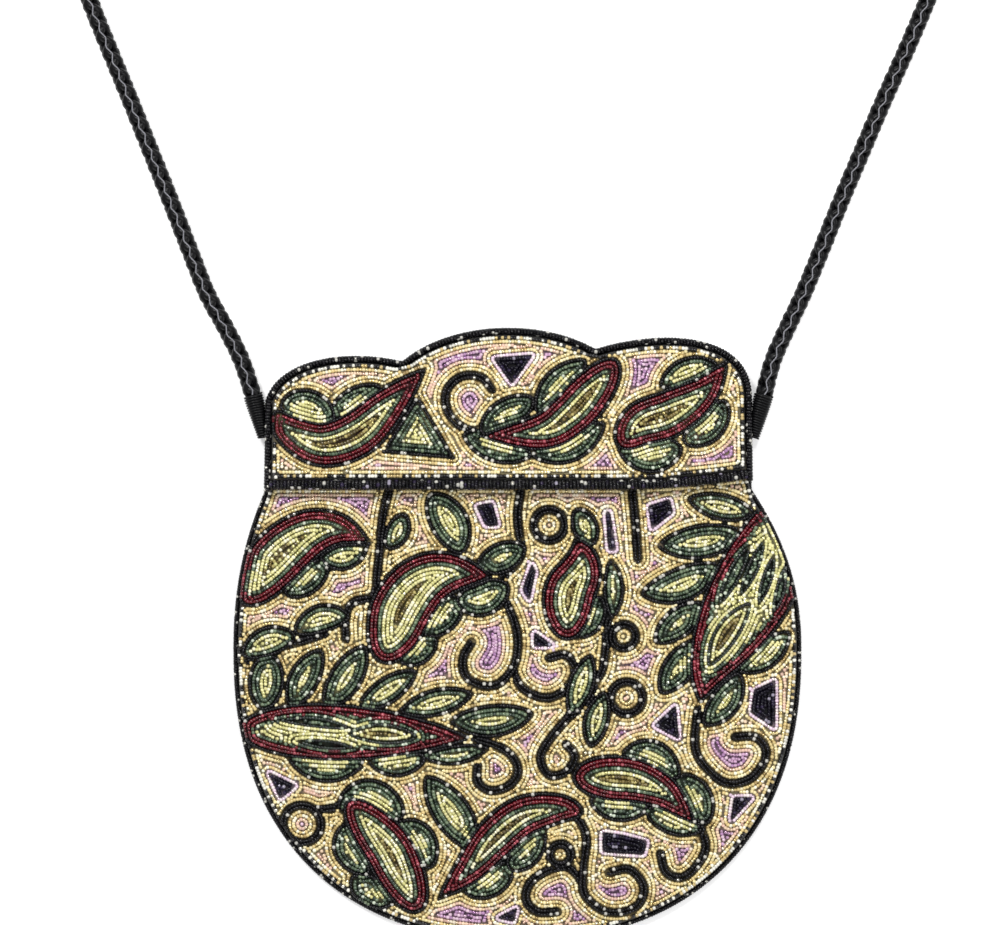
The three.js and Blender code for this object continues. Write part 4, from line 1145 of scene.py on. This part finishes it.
def beadedArea(area, loop, heightAt, top):
    fields = patternFields(area, loop)
    beads = couch(fields)
    xs, ys, angles = beads.T
    reach = rows["slopeReach"]

    def surface(px, py):
        return heightAt(px, py) + top + sampled(fields["height"], fields["x"], fields["y"], px, py)

    z = surface(xs, ys)
    slopeX = (surface(xs + reach, ys) - surface(xs - reach, ys)) / (2 * reach)
    slopeY = (surface(xs, ys + reach) - surface(xs, ys - reach)) / (2 * reach)
    up = np.stack([-slopeX, -slopeY, np.ones_like(z)], axis=1)
    up /= np.linalg.norm(up, axis=1, keepdims=True)
    angles = angles + seeded.normal(0, rows["turnSpread"], len(xs))
    cosine, sine = np.cos(angles), np.sin(angles)
    thread = np.stack([cosine, sine, slopeX * cosine + slopeY * sine], axis=1)
    thread -= np.sum(thread * up, axis=1, keepdims=True) * up
    thread /= np.linalg.norm(thread, axis=1, keepdims=True)
    names = [paletteNames[k] for k in paletteAt(fields, xs, ys)]
    colours, lined = pickColours(names)
    size = np.array([rows["length"], rows["across"], rows["height"]])
    size = size * seeded.uniform(0.93, 1.06, (len(xs), 1))
    raised = rows["sunk"] + seeded.normal(0, rows["heightSpread"], (len(xs), 1))
    middle = np.stack([xs, ys, z], axis=1) + up * raised
    made = {"middle": middle, "thread": thread, "up": up, "size": size, "colour": colours, "lined": lined}
    slots = [slotOf[name] for name in names]
    for slotName, i, parts, part in splitBeads(made, slots, rows["mostPerPiece"]):
        suffix = f"_{i + 1}" if parts > 1 else ""
        name = f"{area}_{slotName}{suffix}"
        piece = newObject(name, beadMesh(name, part), beadGlass[slotName])
        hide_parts(*replacedBy(area, slotName))
    print(area, "beads", len(xs))
    return fields


# Cloth
cloth = {
    "bagMiddle": (0.0, -5.0), "flapMiddle": (-3.0, 74.0), "lining": 0.6, "front": 1.0, "flap": 0.8,
    "tuck": 3.7, "groundTuck": 1.8, "mouthSteps": 58, "creaseAngle": 50.0,
}


def fanSheet(name, loop, centre, ringCount, topAt, thickness, material):
    # a grid bent round the middle of an outline, given its height, then its thickness
    count = len(loop)
    bm = bmesh.new()
    made = bmesh.ops.create_grid(bm, x_segments=count, y_segments=ringCount, size=0.5)["verts"]
    middle = np.array(centre, float)
    for vert in made:
        place = loop[int(round((vert.co.x + 0.5) * count)) % count]
        x, y = middle + (vert.co.y + 0.5) * (place - middle)
        vert.co = Vector((x, y, float(topAt(x, y)))) * mm
    bmesh.ops.remove_doubles(bm, verts=bm.verts[:], dist=1e-6)
    under = bm.verts[:]
    bmesh.ops.extrude_face_region(bm, geom=bm.faces[:])
    bmesh.ops.translate(bm, verts=under, vec=(0, 0, -thickness * mm))
    return newObject(name, finishMesh(bm, name, cloth["creaseAngle"]), material)


def tintAndShadeBacking(piece, fields):
    # the cloth takes the tint of the beads above it, darkened as painted shade in the gaps between them
    mesh = piece.data
    places = np.zeros(len(mesh.vertices) * 3, np.float32)
    mesh.vertices.foreach_get("co", places)
    places = places.reshape(-1, 3) / mm
    tones = []
    for name in paletteNames:
        # painted shade: each bead colour scaled down to 0.3 of itself, and to 0.04 under the rim row
        share = 0.04 if name == "rim" else 0.3
        tones.append(np.array(light(*palettes[name][0][0])) * share + 0.004)
    addColour(mesh, "backingTintAndShade", np.array(tones)[paletteAt(fields, places[:, 0], places[:, 1])])


def heightIn(fields, x, y):
    height = fields["clothHeight"]
    return sampled(height, fields["x"], fields["y"], np.array([x]), np.array([y]))[0]


def makeCloth(bodyFields, flapFields):
    thin = cloth["lining"]

    def bodyTop(x, y):
        beaded = y < float(flapEdgeAt(x)) + 1.5
        lift = heightIn(bodyFields, x, y) if beaded else 0.0
        return layers["frontTop"] + bellyAt(x, y) + lift

    def flapTop(x, y):
        return layers["flapTop"] + flapAt(x, y) + heightIn(flapFields, x, y)

    front = lowerOutline(bag["mouth"], bag["mouth"], bag["beadInset"])
    steps = cloth["mouthSteps"]
    across = np.linspace(front[-1][0], front[0][0], steps + 2)[1:-1]
    front = np.vstack([front, np.stack([across, np.full(steps, bag["mouth"])], axis=1)])
    flap = flapLoop(bag["flapBeadInset"], cloth["tuck"])
    flapInside = flapLoop(bag["flapInset"], cloth["tuck"])
    middles = cloth["bagMiddle"], cloth["flapMiddle"]
    sheets = [  # name, replaced node, outline, whose middle, rings, height, thickness, material
        ("front_cloth", "front_panel", front, 0, 52, bodyTop, cloth["front"], backing),
        ("flap_cloth_fine", "flap_cloth", flap, 1, 32, flapTop, cloth["flap"], backing),
        ("front_lining_fine", "front_lining", front, 0, 20,
         lambda x, y: layers["frontLining"] + thin + bellyAt(x, y), thin, liningCloth),
        ("flap_lining_fine", "flap_lining", flapInside, 1, 16,
         lambda x, y: layers["flapLining"] + thin + flapAt(x, y), thin, liningCloth),
        ("back_cloth", "back_panel", wholeLoop(bag["overhang"]), 0, 30,
         lambda x, y: layers["backTop"], layers["backTop"], satin),
        ("back_lining_fine", "back_lining", wholeLoop(bag["frontInset"]), 0, 20,
         lambda x, y: layers["backLiningTop"], thin, liningCloth),
    ]
    toned = {"front_cloth": bodyFields, "flap_cloth_fine": flapFields}
    for name, replaced, loop, owner, rings, topAt, thickness, material in sheets:
        sheet = fanSheet(name, loop, middles[owner], rings, topAt, thickness, material)
        if name in toned:
            tintAndShadeBacking(sheet, toned[name])
        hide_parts(replaced)
    print("cloth made")


# Edgings: beads wound round a thin roll of cloth
edging = {
    "step": 1.2, "sides": 10, "creaseAngle": 80.0, "beadLength": 1.15, "beadHeight": 0.75,
    "border": {"radius": 0.8, "height": 1.5, "beads": 4, "scale": 0.72},
    "roll": {"radius": 1.2, "height": 2.1, "beads": 6, "scale": 0.9},
    "band": {"radius": 1.8, "height": 1.35, "beads": 8, "scale": 1.0},
    "cores": {  # edging, step along it, drop below its middle, radius
        "edging_core": [("border", 2.5, 0.0, 0.5), ("roll", 2.0, 0.0, 0.7), ("border", 2.5, 0.8, 0.68),
                        ("roll", 2.5, 1.1, 0.98)],
        "band_core": [("band", 2.0, 0.0, 1.3)],
    },
}


def woundBeads(line, radius, perRing, names, scale):
    # rings of beads round a line, each ring turned half a bead from the one before
    line = evenly(line, step=edging["step"] * scale)
    side, up = framesAlong(line)
    shape = np.array([rows["length"] * edging["beadLength"], rows["across"],
                      rows["height"] * edging["beadHeight"]]) * scale
    made = {"middle": [], "thread": [], "up": []}
    for i, point in enumerate(line):
        for k in range(perRing):
            angle = 2 * math.pi * (k + 0.5 * (i % 2)) / perRing
            outward = math.cos(angle) * side[i] + math.sin(angle) * up[i]
            made["middle"].append(point + (radius - shape[2]) * outward)
            made["thread"].append(-math.sin(angle) * side[i] + math.cos(angle) * up[i])
            made["up"].append(outward)
    made = {key: np.array(value) for key, value in made.items()}
    count = len(made["middle"])
    made["colour"], made["lined"] = pickColours([dice.choice(names) for _ in range(count)])
    made["size"] = np.tile(shape, (count, 1)) * seeded.uniform(0.94, 1.05, (count, 1))
    return made


def edgingLines():
    # the middle line of the border, of the roll along the scallops and of the flap's lower band
    border = lowerOutline(bag["mouth"], bag["mouth"], edging["border"]["radius"])
    borderHeight = np.full(len(border), layers["backTop"] + edging["border"]["height"])
    inset = edging["roll"]["radius"]
    ends = []
    for side in (1, -1):
        x = sideAt(bag["flapEdge"], side, inset)
        ends.append((x, float(flapEdgeAt(x))))
    roll = evenly(np.vstack([ends[0], topOutline(inset), ends[1]]), step=1.0)
    rollHeight = layers["backTop"] + edging["roll"]["height"] + flapTilt(roll[:, 1])
    band = flapLower(bag["flapBeadInset"], edging["band"]["radius"], 120)
    bandHeight = layers["flapLining"] + edging["band"]["height"] + flapAt(band[:, 0], band[:, 1])
    return {
        "border": np.column_stack([border, borderHeight]),
        "roll": np.column_stack([roll, rollHeight]),
        "band": np.column_stack([band, bandHeight]),
    }


def makeEdging(lines, which, name, replaced, names):
    made = edging[which]
    beads = woundBeads(lines[which], made["radius"], made["beads"], names, made["scale"])
    piece = newObject(name, beadMesh(name, beads), beadGlass["black_beads"])
    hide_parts(replaced)


def makeCore(lines, name):
    # cloth rolls inside and under the beads
    bm = bmesh.new()
    for which, step, drop, radius in edging["cores"][name]:
        addTube(bm, evenly(lines[which], step=step) - [0.0, 0.0, drop], radius, edging["sides"])
    tubePiece(bm, name, edging["sides"], edging["creaseAngle"], satin)


def makeEdgings():
    lines = edgingLines()
    makeEdging(lines, "border", "border_beads", "body_border", ["black"])
    makeEdging(lines, "roll", "flap_roll_beads", "flap_roll", ["black"])
    makeCore(lines, "edging_core")
    makeEdging(lines, "band", "flap_band_beads", "flap_band", ["black", "black", "black", "night"])
    makeCore(lines, "band_core")


flapGround = flapLoop(bag["flapBeadInset"], cloth["tuck"])
bodyFields = beadedArea("body", groundLoop(cloth["groundTuck"]), bellyAt, layers["frontTop"])
flapFields = beadedArea("flap", flapGround, flapAt, layers["flapTop"])
makeCloth(bodyFields, flapFields)
makeEdgings()
print("beads and cloth made")

for name in ("snap_socket", "snap_stud"):
    nodes[name].data.materials.clear()
    nodes[name].data.materials.append(nickel)

makeWhipping("whipping_left", whipping["left"], cordSatin)
makeWhipping("whipping_right", whipping["right"], cordSatin)
tiePiece = makeTie(cordSatin)
print("press stud, cord ends and tie made")


# Floor, background and lights
stageSet = {"floor": 6.0, "drop": 0.0001, "floorTone": 0.93, "glow": 0.3, "world": 0.55}


def addStage():
    bm = bmesh.new()
    bmesh.ops.create_grid(bm, x_segments=4, y_segments=4, size=stageSet["floor"] / 2)
    bmesh.ops.translate(bm, verts=bm.verts[:], vec=(0, 0, -stageSet["drop"]))
    mesh = bpy.data.meshes.new("floor")
    bm.to_mesh(mesh)
    bm.free()
    floor = bpy.data.objects.new("floor", mesh)
    scene.collection.objects.link(floor)
    material, tree, shader = newMaterial("paleFloor")
    shader.inputs["Base Color"].default_value = (*[stageSet["floorTone"]] * 3, 1.0)
    shader.inputs["Roughness"].default_value = 0.9
    rays = tree.nodes.new("ShaderNodeLightPath")
    glow = addNode(tree, "ShaderNodeMath", operation="MULTIPLY")
    glow.inputs[1].default_value = stageSet["glow"]
    tree.links.new(rays.outputs["Is Camera Ray"], glow.inputs[0])
    shader.inputs["Emission Color"].default_value = (1.0, 1.0, 1.0, 1.0)
    tree.links.new(glow.outputs[0], shader.inputs["Emission Strength"])
    mesh.materials.append(material)

    world = bpy.data.worlds.new("world")
    world.use_nodes = True
    background = world.node_tree.nodes["Background"]
    background.inputs["Color"].default_value = (1.0, 1.0, 1.0, 1.0)
    background.inputs["Strength"].default_value = stageSet["world"]
    scene.world = world


lamps = [  # name, place, size, power in watts
    ("key", (-0.55, 0.75, 1.15), 0.28, 11.0),
    ("fill", (0.8, -0.3, 1.2), 0.8, 6.0),
    ("glint", (0.25, 0.7, 0.9), 0.12, 3.0),
]


def addLamps():
    middle = Vector((0.0, 0.04, 0.0))
    for name, place, size, power in lamps:
        data = bpy.data.lights.new(name, "AREA")
        data.size = size
        data.energy = power
        lamp = bpy.data.objects.new(name, data)
        scene.collection.objects.link(lamp)
        lamp.location = place
        lamp.rotation_mode = "QUATERNION"
        lamp.rotation_quaternion = (middle - Vector(place)).to_track_quat("-Z", "Y")


addStage()
addLamps()
print("stage and lamps made")
